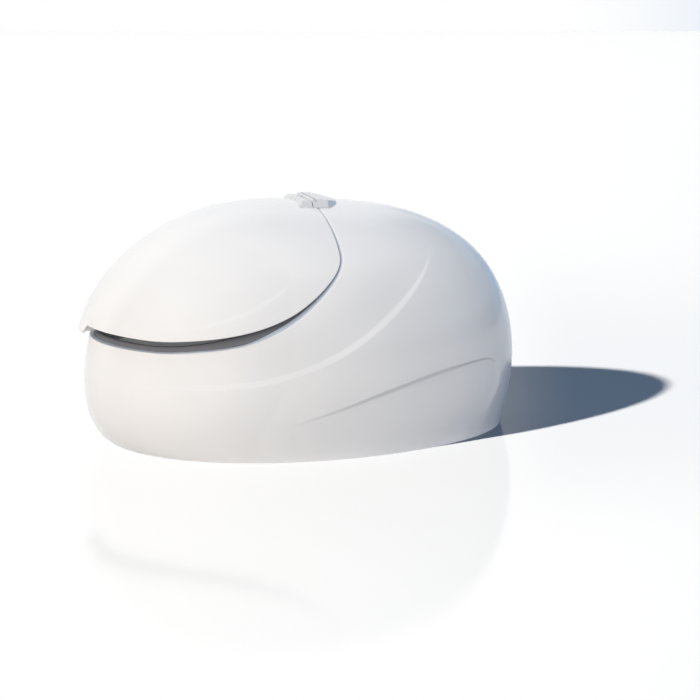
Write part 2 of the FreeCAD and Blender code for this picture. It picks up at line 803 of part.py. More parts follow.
lamp_wall = size("lamp_wall")
lamp_length = size("lamp_length")
lamp_back = (from_nose("bath_nose_gap") - size("lamp_depth"), 0, size("lamp_level"))
lamp_floor = (lamp_back[0] + 1.5 * lamp_wall, 0, size("lamp_level"))
lamp_body = rod(size("lamp_radius") + 1.5 * lamp_wall, lamp_back, BACK, 0.75 * lamp_length)
lamp_neck = rod(size("lamp_radius"), lamp_back, BACK, lamp_length)
lamp_core = rod(size("lamp_radius") - lamp_wall, lamp_floor, BACK, lamp_length)
lamp_housing = lamp_body.cut(bath_outside).fuse(lamp_neck.cut(bath_form)).cut(lamp_core)
formed("lamp_housing", lamp_housing)
lens_radius = size("lamp_radius") - lamp_wall - 1
lamp_front = rod(size("lamp_bezel_radius"), lamp_axis, BACK, far / 4)
lens_front = rod(lens_radius, lamp_axis, BACK, far / 4)
formed("lamp_bezel", bath_lining(gap, lamp_wall + 1).common(lamp_front).cut(lens_front))
lens_reach = rod(lens_radius - gap, lamp_axis, BACK, far / 4)
formed("lamp_lens", bath_lining(gap, lamp_wall - 1).common(lens_reach))

jet_centres = [Vector(jet_x, side * size("jet_y"), size("jet_level")) for side in (-1, 1)]
jet_sockets = [Part.makeSphere(size("jet_ball_radius") + gap, centre) for centre in jet_centres]
feed_radius = size("jet_feed_radius")
neck_length = size("jet_neck_length")
manifold_start = jet_x - neck_length / 2
manifold_end = manifold_x + size("pipe_radius") + 4
manifold_wide = size("manifold_half_width")
manifold_high = size("manifold_half_height")
manifold = Part.makeBox(manifold_end - manifold_start, 2 * manifold_wide, 2 * manifold_high,
                        Vector(manifold_start, -manifold_wide, size("jet_level") - manifold_high))
manifold = manifold.cut(bath_outside)
for centre in jet_centres:
    neck = rod(jet_neck, centre.sub(Vector(neck_length, 0, 0)), BACK, neck_length + 10)
    feed = rod(feed_radius, centre, BACK, manifold_x - centre.x)
    manifold = manifold.fuse(neck.cut(bath_form)).cut(feed)
bore_start = (manifold_x, -size("jet_y"), size("jet_level"))
cross_bore = rod(feed_radius, bore_start, (0, 1, 0), 2 * size("jet_y"))
top_bore = rod(size("pipe_bore_radius"), bore_start, UP, 2 * manifold_high)
formed("return_manifold", manifold.cut([cross_bore, top_bore] + jet_sockets))

ring_fronts = [rod(size("jet_ring_radius"), centre, (-1, 0, 0), 60) for centre in jet_centres]
jet_rings = bath_lining(gap, 6).common(ring_fronts[0].fuse(ring_fronts[1])).cut(jet_sockets)
formed("jet_rings", jet_rings)
for name, centre in zip(("jet_eyeball_right", "jet_eyeball_left"), jet_centres):
    ball = doc.addObject("PartDesign::Body", name)
    shell_turn = ball.newObject("PartDesign::AdditiveSphere", name + "_ball")
    bind(shell_turn, {"Radius": "jet_ball_radius"})
    bore = sketch_on(ball, "YZ_Plane")
    draw_circle(bore, "0", "0", "jet_bore_radius")
    nozzle = ball.newObject("PartDesign::Pocket", name + "_bore")
    nozzle.Profile = bore
    nozzle.Type = "ThroughAll"
    nozzle.Midplane = True
    ball.Placement = hull_frame(centre.x, centre.y, centre.z)
    keep(ball)

grille = doc.addObject("PartDesign::Body", "suction_grille")
turned(grille, "XZ_Plane", [
    ("0", "0"), ("suction_grille_radius", "0"), ("suction_grille_radius - 4", "6"), ("0", "6")])
slot = sketch_on(grille, "XY_Plane")
draw_outline(slot, [("14", "0 - 2.5"), ("suction_grille_radius - 12", "0 - 2.5"),
                    ("suction_grille_radius - 12", "2.5"), ("14", "2.5")])
slot_cut = grille.newObject("PartDesign::Pocket", "suction_grille_slot")
slot_cut.Profile = slot
slot_cut.Type = "ThroughAll"
slot_cut.Midplane = True
slots = grille.newObject("PartDesign::PolarPattern", "suction_grille_slots")
slots.Originals = [slot_cut]
slots.Axis = (slot, ["N_Axis"])
slots.Angle = 360
slots.Occurrences = 12
grille.Tip = slots
grille.Placement = hull_frame(suction_x, 0, size("bath_floor") + size("bath_wall") + gap)
keep(grille)

fitting_foot = size("rail_bottom") + size("rail_size") + 1
fitting_wall = size("suction_wall")
fitting = rod(size("suction_hole_radius") + 10, (suction_x, 0, fitting_foot), UP,
              size("bath_floor") - gap - fitting_foot)
fitting_neck = rod(size("suction_hole_radius"), (suction_x, 0, fitting_foot), UP,
                   size("bath_floor") + size("bath_wall") - fitting_foot)
fitting_bore = rod(size("suction_hole_radius") - fitting_wall,
                   (suction_x, 0, fitting_foot + fitting_wall), UP, size("bath_floor"))
suction_end = suction_x + size("suction_hole_radius") + 15
port_start = suction_x + size("suction_hole_radius") - 5
port = rod(size("pipe_radius") + 5, (port_start, 0, size("suction_level")), BACK, suction_end - port_start)
port_bore = rod(size("pipe_bore_radius"), (suction_x, 0, size("suction_level")), BACK, 100)
formed("suction_fitting", fitting.fuse(fitting_neck).fuse(port).cut([fitting_bore, port_bore]))


# ---------------------------------------------------------------- base frame, feet and bearers
rails = []
for side in (-1, 1):
    rails.append(primitive(
        "Box", "long_rail%d" % side,
        {"Length": "hull_length - frame_tail_gap - frame_nose_gap", "Width": "rail_size",
         "Height": "rail_size"},
        hull_frame(from_nose("frame_nose_gap"), side * size("rail_y") - size("rail_size") / 2,
                   size("rail_bottom"))))
cross_x = [from_nose("frame_nose_gap"), size("front_rail_x"), size("rear_rail_x"), tray_front,
           from_tail("frame_tail_gap") - size("rail_size")]
for number, x in enumerate(cross_x):
    rails.append(primitive(
        "Box", "cross_rail%d" % number,
        {"Length": "rail_size", "Width": "2 * rail_y + rail_size", "Height": "rail_size"},
        hull_frame(x, -size("rail_y") - size("rail_size") / 2, size("rail_bottom"))))
half_rail = size("rail_size") / 2
foot_x = (cross_x[0] + half_rail, size("middle_foot_x"), cross_x[-1] + half_rail)
foot_places = [(x, side * size("rail_y")) for x in foot_x for side in (-1, 1)]
stud_holes = fused("stud_holes", [
    primitive("Cylinder", "stud_hole%d" % number,
              {"Radius": "stud_radius + fit_gap", "Height": "rail_size + 2"},
              hull_frame(x, y, size("rail_bottom") - 1))
    for number, (x, y) in enumerate(foot_places)])
keep(combined("Cut", "base_frame", fused("frame_rails", rails), stud_holes))

feet = []
nuts = []
for number, (x, y) in enumerate(foot_places):
    pad = primitive("Cylinder", "foot_pad%d" % number, {"Radius": "foot_radius", "Height": "foot_height"},
                    hull_frame(x, y, 0))
    stud = primitive("Cylinder", "foot_stud%d" % number,
                     {"Radius": "stud_radius", "Height": "rail_bottom + rail_size - foot_height - 4"},
                     hull_frame(x, y, size("foot_height")))
    feet.append(fused("foot%d" % number, [pad, stud]))
    hexagon = primitive("Prism", "nut_body%d" % number,
                        {"Circumradius": "stud_radius * 2", "Height": "stud_radius"},
                        hull_frame(x, y, size("rail_bottom") - size("stud_radius") - gap))
    hexagon.Polygon = 6
    nut_hole = primitive("Cylinder", "nut_hole%d" % number,
                         {"Radius": "stud_radius + fit_gap", "Height": "rail_size"},
                         hull_frame(x, y, size("foot_height")))
    nuts.append(combined("Cut", "nut%d" % number, hexagon, nut_hole))
keep(joined("levelling_feet", feet))
keep(joined("foot_lock_nuts", nuts))

rail_top = size("rail_bottom") + size("rail_size")
bearers = []
for number in range(4):
    x = size("first_bearer_x") + number * size("bearer_pitch")
    bearers.append(primitive(
        "Box", "bearer%d" % number,
        {"Length": "bearer_width", "Width": "2 * (rail_y + rail_size / 2)",
         "Height": "bath_floor - rail_bottom - rail_size - 2 * fit_gap"},
        hull_frame(x, -size("rail_y") - half_rail, rail_top + gap)))
keep(joined("bath_bearers", bearers))


# ---------------------------------------------------------------- fittings on the shelf
for name, side in (("call_button", 1), ("light_button", -1)):
    cap = doc.addObject("PartDesign::Body", name)
    turned(cap, "XZ_Plane", [
        ("0", "0 - 30"), ("button_stem_radius", "0 - 30"), ("button_stem_radius", "button_travel + 2.5"),
        ("button_radius", "button_travel + 2.5"), ("button_radius", "12"), ("button_radius - 1.5", "13.5"),
        ("0", "13.5")])
    cap.Placement = hull_frame(size("button_x"), side * size("button_y"), flange_top + gap)
    keep(cap)
collars = []
for side in (-1, 1):
    collar = doc.addObject("PartDesign::Body", "button_collar%d" % side)
    turned(collar, "XZ_Plane", [
        ("button_stem_radius + fit_gap", "0 - 45"), ("button_barrel_radius", "0 - 45"),
        ("button_barrel_radius", "0"), ("button_ring_radius", "0"), ("button_ring_radius - 2", "9"),
        ("button_radius + fit_gap", "9"), ("button_radius + fit_gap", "2"),
        ("button_stem_radius + fit_gap", "2")])
    collar.Placement = hull_frame(size("button_x"), side * size("button_y"), flange_top + gap)
    collars.append(collar)
keep(joined("button_housings", collars))

fan = doc.addObject("PartDesign::Body", "fan_housing")
turned(fan, "XZ_Plane", [
    ("fan_radius", "0"), ("fan_radius + 8", "0"), ("fan_radius + 8", "fan_depth"),
    ("fan_radius", "fan_depth")])
padded(fan, "XY_Plane", lambda sketch: draw_circle(sketch, "0", "0", "fan_hub_radius + 2"), "fan_spoke_depth")
padded(fan, "XY_Plane", lambda sketch: draw_circle(sketch, "0", "0", "fan_post_radius"), "fan_depth - 6")
for turn in (0, 60, 120):
    def spoke(sketch, turn=turn):
        along = (math.cos(math.radians(turn)), math.sin(math.radians(turn)))
        corners = []
        for reach, wide in ((-1, -3), (1, -3), (1, 3), (-1, 3)):
            corners.append(("%.6f * (fan_radius + 4) - %.6f" % (reach * along[0], wide * along[1]),
                            "%.6f * (fan_radius + 4) + %.6f" % (reach * along[1], wide * along[0])))
        draw_outline(sketch, corners)
    padded(fan, "XY_Plane", spoke, "fan_spoke_depth")
fan_level = flange_bottom - gap - size("fan_depth")
fan.Placement = hull_frame(fan_x, 0, fan_level)
keep(fan)

hub_level = size("fan_spoke_depth") + 2
hub = primitive("Cylinder", "fan_hub", {"Radius": "fan_hub_radius", "Height": "fan_hub_radius"},
                hull_frame(0, 0, hub_level))
blades = []
for number in range(7):
    pitched = hull_frame(size("fan_hub_radius") - 3, -size("fan_blade_width") / 2, size("fan_depth") / 2,
                         (1, 0, 0), size("fan_blade_pitch"))
    blades.append(primitive(
        "Box", "fan_blade%d" % number,
        {"Length": "fan_radius - fan_hub_radius + 1.5", "Width": "fan_blade_width", "Height": "2"},
        hull_frame(0, 0, 0, (0, 0, 1), number * 360 / 7).multiply(pitched)))
hub_bore = primitive("Cylinder", "fan_hub_bore",
                     {"Radius": "fan_post_radius + shaft_clearance", "Height": "fan_hub_radius - 1"},
                     hull_frame(0, 0, hub_level - 0.1))
rotor = combined("Cut", "fan_rotor", fused("fan_wheel", [hub] + blades), hub_bore)
rotor.Placement = hull_frame(fan_x, 0, fan_level)
keep(rotor)

fan_cover = doc.addObject("PartDesign::Body", "fan_grille")
turned(fan_cover, "XZ_Plane", [
    ("0", "0"), ("fan_grille_radius", "0"), ("fan_grille_radius - 2", "5"), ("0", "5")])
vent = sketch_on(fan_cover, "XY_Plane")
draw_outline(vent, [("16", "0 - 3"), ("fan_radius - 4", "0 - 3"), ("fan_radius - 4", "3"), ("16", "3")])
vent_cut = fan_cover.newObject("PartDesign::Pocket", "fan_grille_slot")
vent_cut.Profile = vent
vent_cut.Type = "ThroughAll"
vent_cut.Midplane = True
vents = fan_cover.newObject("PartDesign::PolarPattern", "fan_grille_slots")
vents.Originals = [vent_cut]
vents.Axis = (vent, ["N_Axis"])
vents.Angle = 360
vents.Occurrences = 12
fan_cover.Tip = vents
fan_cover.Placement = hull_frame(fan_x, 0, flange_top + gap)
keep(fan_cover)

intercom = doc.addObject("PartDesign::Body", "intercom_speaker")
turned(intercom, "XZ_Plane", [
    ("0", "0 - 38"), ("intercom_body_radius - 8", "0 - 38"), ("intercom_body_radius", "0 - 20"),
    ("intercom_body_radius", "0"), ("intercom_radius", "0"), ("intercom_radius - 2", "4"), ("0", "4")])
intercom.Placement = hull_frame(intercom_x, size("intercom_y"), flange_top + gap)
keep(intercom)


# ---------------------------------------------------------------- plant bay
def pipe(points, branch=None):
    """A tube of straight runs joined by arcs, open at both ends."""
    bend = size("pipe_bend")
    edges = []
    begin = points[0]
    for number in range(1, len(points) - 1):
        corner = points[number]
        back = points[number - 1].sub(corner).normalize()
        ahead = points[number + 1].sub(corner).normalize()
        enter = corner.add(back * bend)
        leave = corner.add(ahead * bend)
        middle = corner.add((back + ahead) * (bend * (1 - math.sqrt(0.5))))
        edges.append(Part.makeLine(begin, enter))
        edges.append(Part.Arc(enter, middle, leave).toShape())
        begin = leave
    edges.append(Part.makeLine(begin, points[-1]))
    spine = Part.Wire(edges)
    direction = points[1].sub(points[0])
    sections = []
    for radius in (size("pipe_radius"), size("pipe_bore_radius")):
        section = Part.Wire([Part.makeCircle(radius, points[0], direction)])
        sections.append(spine.makePipeShell([section], True, False))
    solid = sections[0].fuse(branch) if branch else sections[0]
    return solid.cut(sections[1])


tray_level = rail_top + gap
deck_level = tray_level + size("tray_thickness")
board_front = tray_rear - size("panel_board_thickness")
tray_plate = primitive("Box", "tray_plate", {
    "Length": "tray_front_tail_gap - tray_rear_tail_gap", "Width": "2 * tray_half_width",
    "Height": "tray_thickness"},
    hull_frame(tray_front, -size("tray_half_width"), tray_level))
tray_back = primitive("Box", "tray_back", {
    "Length": "panel_board_thickness", "Width": "2 * plant_board_half_width",
    "Height": "board_top - rail_bottom - rail_size - fit_gap"},
    hull_frame(board_front, -size("plant_board_half_width"), tray_level))
saddles = []
for level in (size("heater_level"), size("lamp_tube_level")):
    for y in (-size("saddle_y") - size("saddle_width") / 2, size("saddle_y") - size("saddle_width") / 2):
        saddles.append(primitive(
            "Box", "saddle%d" % len(saddles),
            {"Length": "tray_rear_tail_gap - treatment_tail_gap - treatment_radius - fit_gap"
                       " + panel_board_thickness",
             "Width": "saddle_width", "Height": "saddle_height"},
            hull_frame(board_front, y, level - size("saddle_height") / 2)))
drain_slot = primitive("Cylinder", "drain_slot", {"Radius": "pipe_radius + 2", "Height": "40"},
                       hull_frame(board_front - 10, 0, size("suction_level"), (0, 1, 0), 90))
keep(combined("Cut", "plant_tray", fused("tray_blank", [tray_plate, tray_back] + saddles), drain_slot))

case = doc.addObject("PartDesign::Body", "pump_case")
turned(case, "XY_Plane", [
    ("pipe_radius", "0"), ("pump_inlet_radius", "0"), ("pump_inlet_radius", "10"), ("pump_case_radius", "10"),
    ("pump_case_radius", "pump_case_length"), ("shaft_radius + 0.5", "pump_case_length"),
    ("shaft_radius + 0.5", "pump_case_length - pump_wall"),
    ("pump_chamber_radius", "pump_case_length - pump_wall"),
    ("pump_chamber_radius", "10 + pump_wall"), ("pipe_radius", "10 + pump_wall")])
padded(case, "XY_Plane", lambda sketch: draw_circle(sketch, "0", "pump_case_length / 2", "pipe_radius + 6"),
       "pump_port_top - pump_chamber_radius - 10", depth="pump_chamber_radius + 10")
outlet = sketch_on(case, "XY_Plane", "pump_port_top")
draw_circle(outlet, "0", "pump_case_length / 2", "pipe_bore_radius")
outlet_cut = case.newObject("PartDesign::Pocket", "pump_case_outlet")
outlet_cut.Profile = outlet
bind(outlet_cut, {"Length": "pump_port_top - pump_chamber_radius + 6"})
case.Placement = hull_frame(pump_x, size("pump_y"), size("pump_level"))
keep(case)

motor_y = size("pump_y") + size("pump_case_length") + gap
motor = doc.addObject("PartDesign::Body", "pump_motor")
turned(motor, "XY_Plane", [
    ("shaft_radius + shaft_clearance", "0"), ("motor_radius", "0"), ("motor_radius", "motor_length"),
    ("shaft_radius + shaft_clearance", "motor_length"),
    ("shaft_radius + shaft_clearance", "motor_length - motor_end_wall"),
    ("motor_bore_radius", "motor_length - motor_end_wall"), ("motor_bore_radius", "motor_end_wall"),
    ("shaft_radius + shaft_clearance", "motor_end_wall")])
padded(motor, "XY_Plane", lambda sketch: draw_outline(sketch, [
    ("0 - 50", "30"), ("50", "30"), ("50", "150"), ("0 - 50", "150")]),
    "pump_level - rail_bottom - rail_size - tray_thickness - 2 * fit_gap - motor_bore_radius - 4",
    depth="0 - (pump_level - rail_bottom - rail_size - tray_thickness - 2 * fit_gap)")
motor.Placement = hull_frame(pump_x, motor_y, size("pump_level"))
keep(motor)

impeller_y = size("pump_y") + 10 + size("pump_wall") + 5
spindle = doc.addObject("PartDesign::Body", "pump_rotor")
turned(spindle, "XY_Plane", [
    ("0", "0"), ("20", "0"), ("impeller_radius", "14"), ("impeller_radius", "22"), ("shaft_radius", "22"),
    ("shaft_radius", "63"), ("rotor_radius", "63"), ("rotor_radius", "motor_length + 20"),
    ("shaft_radius", "motor_length + 20"), ("shaft_radius", "motor_length + 54"), ("0", "motor_length + 54")])
spindle.Placement = hull_frame(pump_x, impeller_y, size("pump_level"))
keep(spindle)

pump_port = Vector(pump_x, size("pump_y") + size("pump_case_length") / 2,
                   size("pump_level") + size("pump_port_top"))
canister = doc.addObject("PartDesign::Body", "filter_canister")
turned(canister, "XZ_Plane", [
    ("0", "0"), ("filter_radius", "0"), ("filter_radius", "filter_height"),
    ("filter_radius - filter_wall", "filter_height"), ("filter_radius - filter_wall", "filter_wall"),
    ("0", "filter_wall")])
inlet_depth = "0 - (filter_radius + filter_boss)"
padded(canister, "XZ_Plane", lambda sketch: draw_circle(
    sketch, "0", "filter_inlet_level - rail_bottom - rail_size - tray_thickness", "pipe_radius + 4"),
    "filter_boss + filter_wall - 2", depth=inlet_depth)
padded(canister, "YZ_Plane", lambda sketch: draw_circle(
    sketch, "0", "filter_outlet_level - rail_bottom - rail_size - tray_thickness", "pipe_radius + 4"),
    "filter_boss + filter_wall - 2", depth="filter_radius - filter_wall + 2")
for plane, level, depth, name in (
        ("XZ_Plane", "filter_inlet_level", inlet_depth, "filter_inlet"),
        ("YZ_Plane", "filter_outlet_level", "filter_radius + filter_boss", "filter_outlet")):
    bore = sketch_on(canister, plane, depth)
    draw_circle(bore, "0", level + " - rail_bottom - rail_size - tray_thickness", "pipe_bore_radius")
    port_cut = canister.newObject("PartDesign::Pocket", name)
    port_cut.Profile = bore
    port_cut.Reversed = plane == "XZ_Plane"
    bind(port_cut, {"Length": "filter_boss + filter_wall + 2"})
canister_level = deck_level + gap
canister.Placement = hull_frame(pump_x, size("filter_y"), canister_level)
keep(canister)

cartridge = doc.addObject("PartDesign::Body", "filter_cartridge")
turned(cartridge, "XZ_Plane", [
    ("cartridge_bore_radius", "0"), ("cartridge_radius", "0"),
    ("cartridge_radius", "filter_height - filter_wall - 8"),
    ("cartridge_bore_radius", "filter_height - filter_wall - 8")])
cartridge.Placement = hull_frame(pump_x, size("filter_y"), canister_level + size("filter_wall") + gap)
keep(cartridge)

filter_cap = doc.addObject("PartDesign::Body", "filter_cap")
turned(filter_cap, "XZ_Plane", [
    ("0", "0"), ("filter_cap_radius", "0"), ("filter_cap_radius", "20"), ("24", "28"), ("24", "40"),
    ("0", "40")])
padded(filter_cap, "XY_Plane", lambda sketch: draw_outline(sketch, [
    ("0 - 50", "0 - 8"), ("50", "0 - 8"), ("50", "8"), ("0 - 50", "8")]), "20", depth="22")
filter_cap.Placement = hull_frame(pump_x, size("filter_y"), canister_level + size("filter_height") + gap)
keep(filter_cap)

for name, level in (("water_heater", "heater_level"), ("ultraviolet_unit", "lamp_tube_level")):
    vessel = doc.addObject("PartDesign::Body", name)
    turned(vessel, "XY_Plane", [
        ("pipe_bore_radius", "0 - treatment_half_length"), ("pipe_radius + 4", "0 - treatment_half_length"),
        ("treatment_radius", "12 - treatment_half_length"),
        ("treatment_radius", "treatment_half_length - 12"),
        ("pipe_radius + 4", "treatment_half_length"), ("pipe_bore_radius", "treatment_half_length"),
        ("treatment_radius - 4", "treatment_half_length - 16"),
        ("treatment_radius - 4", "16 - treatment_half_length")])
    vessel.Placement = hull_frame(from_tail("treatment_tail_gap"), 0, size(level))
    keep(vessel)

box_front = board_front - gap - size("control_box_depth")
box_side = size("control_box_y") - size("control_box_width") / 2
control_outer = primitive("Box", "control_outer", {
    "Length": "control_box_depth", "Width": "control_box_width", "Height": "control_box_height"},
    hull_frame(box_front, box_side, size("control_box_bottom")))
control_hollow = primitive("Box", "control_hollow", {
    "Length": "control_box_depth - control_box_wall", "Width": "control_box_width - 2 * control_box_wall",
    "Height": "control_box_height - 2 * control_box_wall"},
    hull_frame(box_front - 0.01, box_side + size("control_box_wall"),
               size("control_box_bottom") + size("control_box_wall")))
keep(combined("Cut", "control_box", control_outer, control_hollow))
control_cover = primitive("Box", "control_cover", {
    "Length": "control_box_wall", "Width": "control_box_width", "Height": "control_box_height"},
    hull_frame(box_front - gap - size("control_box_wall"), box_side, size("control_box_bottom")))
keep(control_cover)

suction_level = size("suction_level")
drain_start = pump_x + size("pipe_bend")
drain_branch = rod(size("pipe_radius"), (pump_x - 20, 0, suction_level), BACK, 20 + size("pipe_bend"))
suction_run = [
    Vector(suction_end + gap, 0, suction_level), Vector(pump_x, 0, suction_level),
    Vector(pump_x, 0, size("pump_level")), Vector(pump_x, size("pump_y") - gap, size("pump_level"))]
formed("suction_pipe", pipe(suction_run, drain_branch))
port_reach = size("filter_radius") + size("filter_boss") + gap
filter_inlet = Vector(pump_x, size("filter_y") + port_reach, size("filter_inlet_level") + 2 * gap)
pump_to_filter = pipe([
    pump_port.add(Vector(0, 0, gap)), Vector(pump_port.x, pump_port.y, filter_inlet.z), filter_inlet])
filter_outlet = Vector(pump_x + port_reach, size("filter_y"), size("filter_outlet_level") + 2 * gap)
vessel_end = size("treatment_half_length") + gap
treatment_x = from_tail("treatment_tail_gap")
filter_to_heater = pipe([
    filter_outlet, Vector(treatment_x, filter_outlet.y, filter_outlet.z),
    Vector(treatment_x, filter_outlet.y, size("heater_level")),
    Vector(treatment_x, -vessel_end, size("heater_level"))])
turn_y = size("treatment_half_length") + 50
heater_to_lamp = pipe([
    Vector(treatment_x, vessel_end, size("heater_level")), Vector(treatment_x, turn_y, size("heater_level")),
    Vector(treatment_x, turn_y, size("lamp_tube_level")),
    Vector(treatment_x, vessel_end, size("lamp_tube_level"))])
manifold_top = size("jet_level") + size("manifold_half_height") + gap
lamp_to_jets = pipe([
    Vector(treatment_x, -vessel_end, size("lamp_tube_level")),
    Vector(treatment_x, size("return_y"), size("lamp_tube_level")),
    Vector(treatment_x, size("return_y"), size("return_level")),
    Vector(manifold_x, size("return_y"), size("return_level")),
    Vector(manifold_x, -size("jet_y"), size("return_level")),
    Vector(manifold_x, -size("jet_y"), manifold_top)])
formed("plant_pipes", Part.makeCompound([pump_to_filter, filter_to_heater, heater_to_lamp, lamp_to_jets]))

valve_start = drain_start + gap
valve = rod(size("pipe_radius"), (valve_start, 0, suction_level), BACK, tray_rear + 40 - valve_start)
valve_centre = (valve_start + board_front) / 2
boss_height = size("pipe_radius") + size("drain_boss_height")
stem_top = suction_level + boss_height
stem_boss = rod(size("drain_boss_radius"), (valve_centre, 0, suction_level), UP, boss_height)
stem_bore = rod(size("drain_stem_radius") + size("shaft_clearance"), (valve_centre, 0, suction_level), UP,
                boss_height + 1)
formed("drain_valve", valve.fuse(stem_boss).cut(stem_bore))
drain = doc.addObject("PartDesign::Body", "drain_handle")
turned(drain, "XZ_Plane", [
    ("0", "0 - 20"), ("drain_stem_radius", "0 - 20"), ("drain_stem_radius", "fit_gap"),
    ("drain_boss_radius + 1", "fit_gap"), ("drain_boss_radius + 1", "10"), ("0", "10")])
padded(drain, "XY_Plane", lambda sketch: draw_outline(sketch, [
    ("0 - drain_stem_radius", "0 - drain_handle_reach"), ("drain_stem_radius", "0 - drain_handle_reach"),
    ("drain_stem_radius", "drain_handle_reach"), ("0 - drain_stem_radius", "drain_handle_reach")]),
    "8", depth="fit_gap")
drain.Placement = hull_frame(valve_centre, 0, stem_top)
keep(drain)

gland_form = hull(-size("inlet_stand"))
gland_back = (gland_x, inlet_y - size("inlet_depth"), size("inlet_level"))
gland = rod(size("inlet_radius"), gland_back, (0, 1, 0), 2 * size("inlet_depth")).common(gland_form)
collar_form = rod(size("inlet_radius") + 8, gland_back, (0, 1, 0), 2 * size("inlet_depth"))
gland = gland.fuse(collar_form.common(lining_form)).fuse(collar_form.common(gland_form).cut(seat_form))
socket_back = (gland_x, inlet_y - size("inlet_socket_depth"), size("inlet_level"))
socket = rod(size("inlet_radius") - 6, socket_back, (0, 1, 0), 2 * size("inlet_depth"))
formed("power_inlet", gland.cut(socket))


# ---------------------------------------------------------------- service panel
panel = outer_form.cut(skin_form).common(window(size("panel_gap")))
formed("service_panel", panel)
lug_width = size("panel_lug_width")
lug_radius = size("panel_lug_radius")
arm_width = size("panel_arm_width")
arm_height = size("panel_arm_height")
arm_start = tray_rear + gap
panel_axis = (tail_point(size("panel_hinge_y"), size("panel_axis_level")) - size("skin") - lug_radius,
              size("panel_axis_level"))
lugs = []
arms = []
for side in (-1, 1):
    outer_y = size("panel_hinge_y") - gap
    low = min(side * outer_y, side * (outer_y - lug_width))
    barrel = rod(lug_radius, (panel_axis[0], low, panel_axis[1]), (0, 1, 0), lug_width)
    web = Part.makeBox(far, lug_width, 3 * lug_radius,
                       Vector(panel_axis[0] - lug_radius, low, panel_axis[1] - lug_radius))
    pin_hole = rod(size("panel_pin_radius") + size("pin_clearance"), (panel_axis[0], low - 1, panel_axis[1]),
                   (0, 1, 0), lug_width + 2)
    lugs.append(barrel.fuse(web).common(lining_form).cut(pin_hole))
    low = min(side * size("panel_hinge_y"), side * (size("panel_hinge_y") + arm_width))
    plate = Part.makeBox(panel_axis[0] - arm_start, arm_width, arm_height,
                         Vector(arm_start, low, panel_axis[1] - 3))
    boss = rod(lug_radius - 2, (panel_axis[0], low, panel_axis[1]), (0, 1, 0), arm_width)
    foot = Part.makeBox(arm_width, 5 * arm_width, 3 * arm_height,
                        Vector(arm_start, low - 2 * arm_width, panel_axis[1] - 2 * arm_height))
    pivot_start = (panel_axis[0], side * (size("panel_hinge_y") + arm_width), panel_axis[1])
    pivot = rod(size("panel_pin_radius"), pivot_start, (0, -side, 0), arm_width + lug_width)
    arms.append(plate.fuse(boss).fuse(foot).fuse(pivot))
formed("panel_lugs", Part.makeCompound(lugs))
formed("panel_arms", Part.makeCompound(arms))


# ---------------------------------------------------------------- gas struts
eye_width = size("strut_eye_width")
bracket_y = size("strut_y") + size("strut_tube_radius") + size("strut_side_gap")


def strut_brackets(label, x, z, liner_inset, frame):
    """A plate on each side, hung from a liner, with a stud that carries the strut."""
    under_liner = hull(liner_inset + gap)
    flange_form = under_liner.cut(hull(liner_inset + gap + size("strut_bracket_thickness")))
    thick = size("strut_bracket_thickness")
    wide = size("strut_bracket_width")
    plates = []
    for side in (-1, 1):
        low = min(side * bracket_y, side * (bracket_y + thick))
        plate = Part.makeBox(wide, thick, crown / 4, Vector(x - wide / 2, low, z - wide / 2))
        stud_inner = size("strut_y") - eye_width
        stud = rod(size("strut_stud_radius"), (x, side * stud_inner, z), (0, side, 0),
                   bracket_y + 2 - stud_inner)
        foot = Part.makeBox(wide, size("strut_foot_width"), crown / 4,
                            Vector(x - wide / 2, low - (size("strut_foot_width") - thick) / 2, z - wide))
        plates.append(plate.common(under_liner).fuse(stud).fuse(foot.common(flange_form)))
    formed(label, Part.makeCompound(plates), frame)


strut_brackets("strut_body_brackets", size("strut_body_x"), size("strut_body_level"),
               size("liner_inset") + size("liner_skin"), None)
strut_brackets("strut_lid_brackets", size("strut_lid_x"), size("strut_lid_level"), lid_inside, lid_frame())

anchor = Vector(size("strut_body_x"), 0, size("strut_body_level"))
swing = tank_frame().inverse().multiply(lid_frame())
grip = swing.multVec(Vector(size("strut_lid_x"), 0, size("strut_lid_level")))
strut_way = grip.sub(anchor)
strut_reach = strut_way.Length
tube_wall = size("strut_tube_wall")
tube_start = size("strut_eye_radius") + 2 * tube_wall
tube_length = size("strut_tube_share") * strut_reach
piston_start = tube_start + size("strut_piston_start")
bore_radius = size("strut_tube_radius") - tube_wall


def along_strut(radius, start, length):
    return rod(radius, (0, 0, start), (0, 0, 1), length)


def across_strut(radius, level, width):
    return rod(radius, (0, -width / 2, level), (0, 1, 0), width)


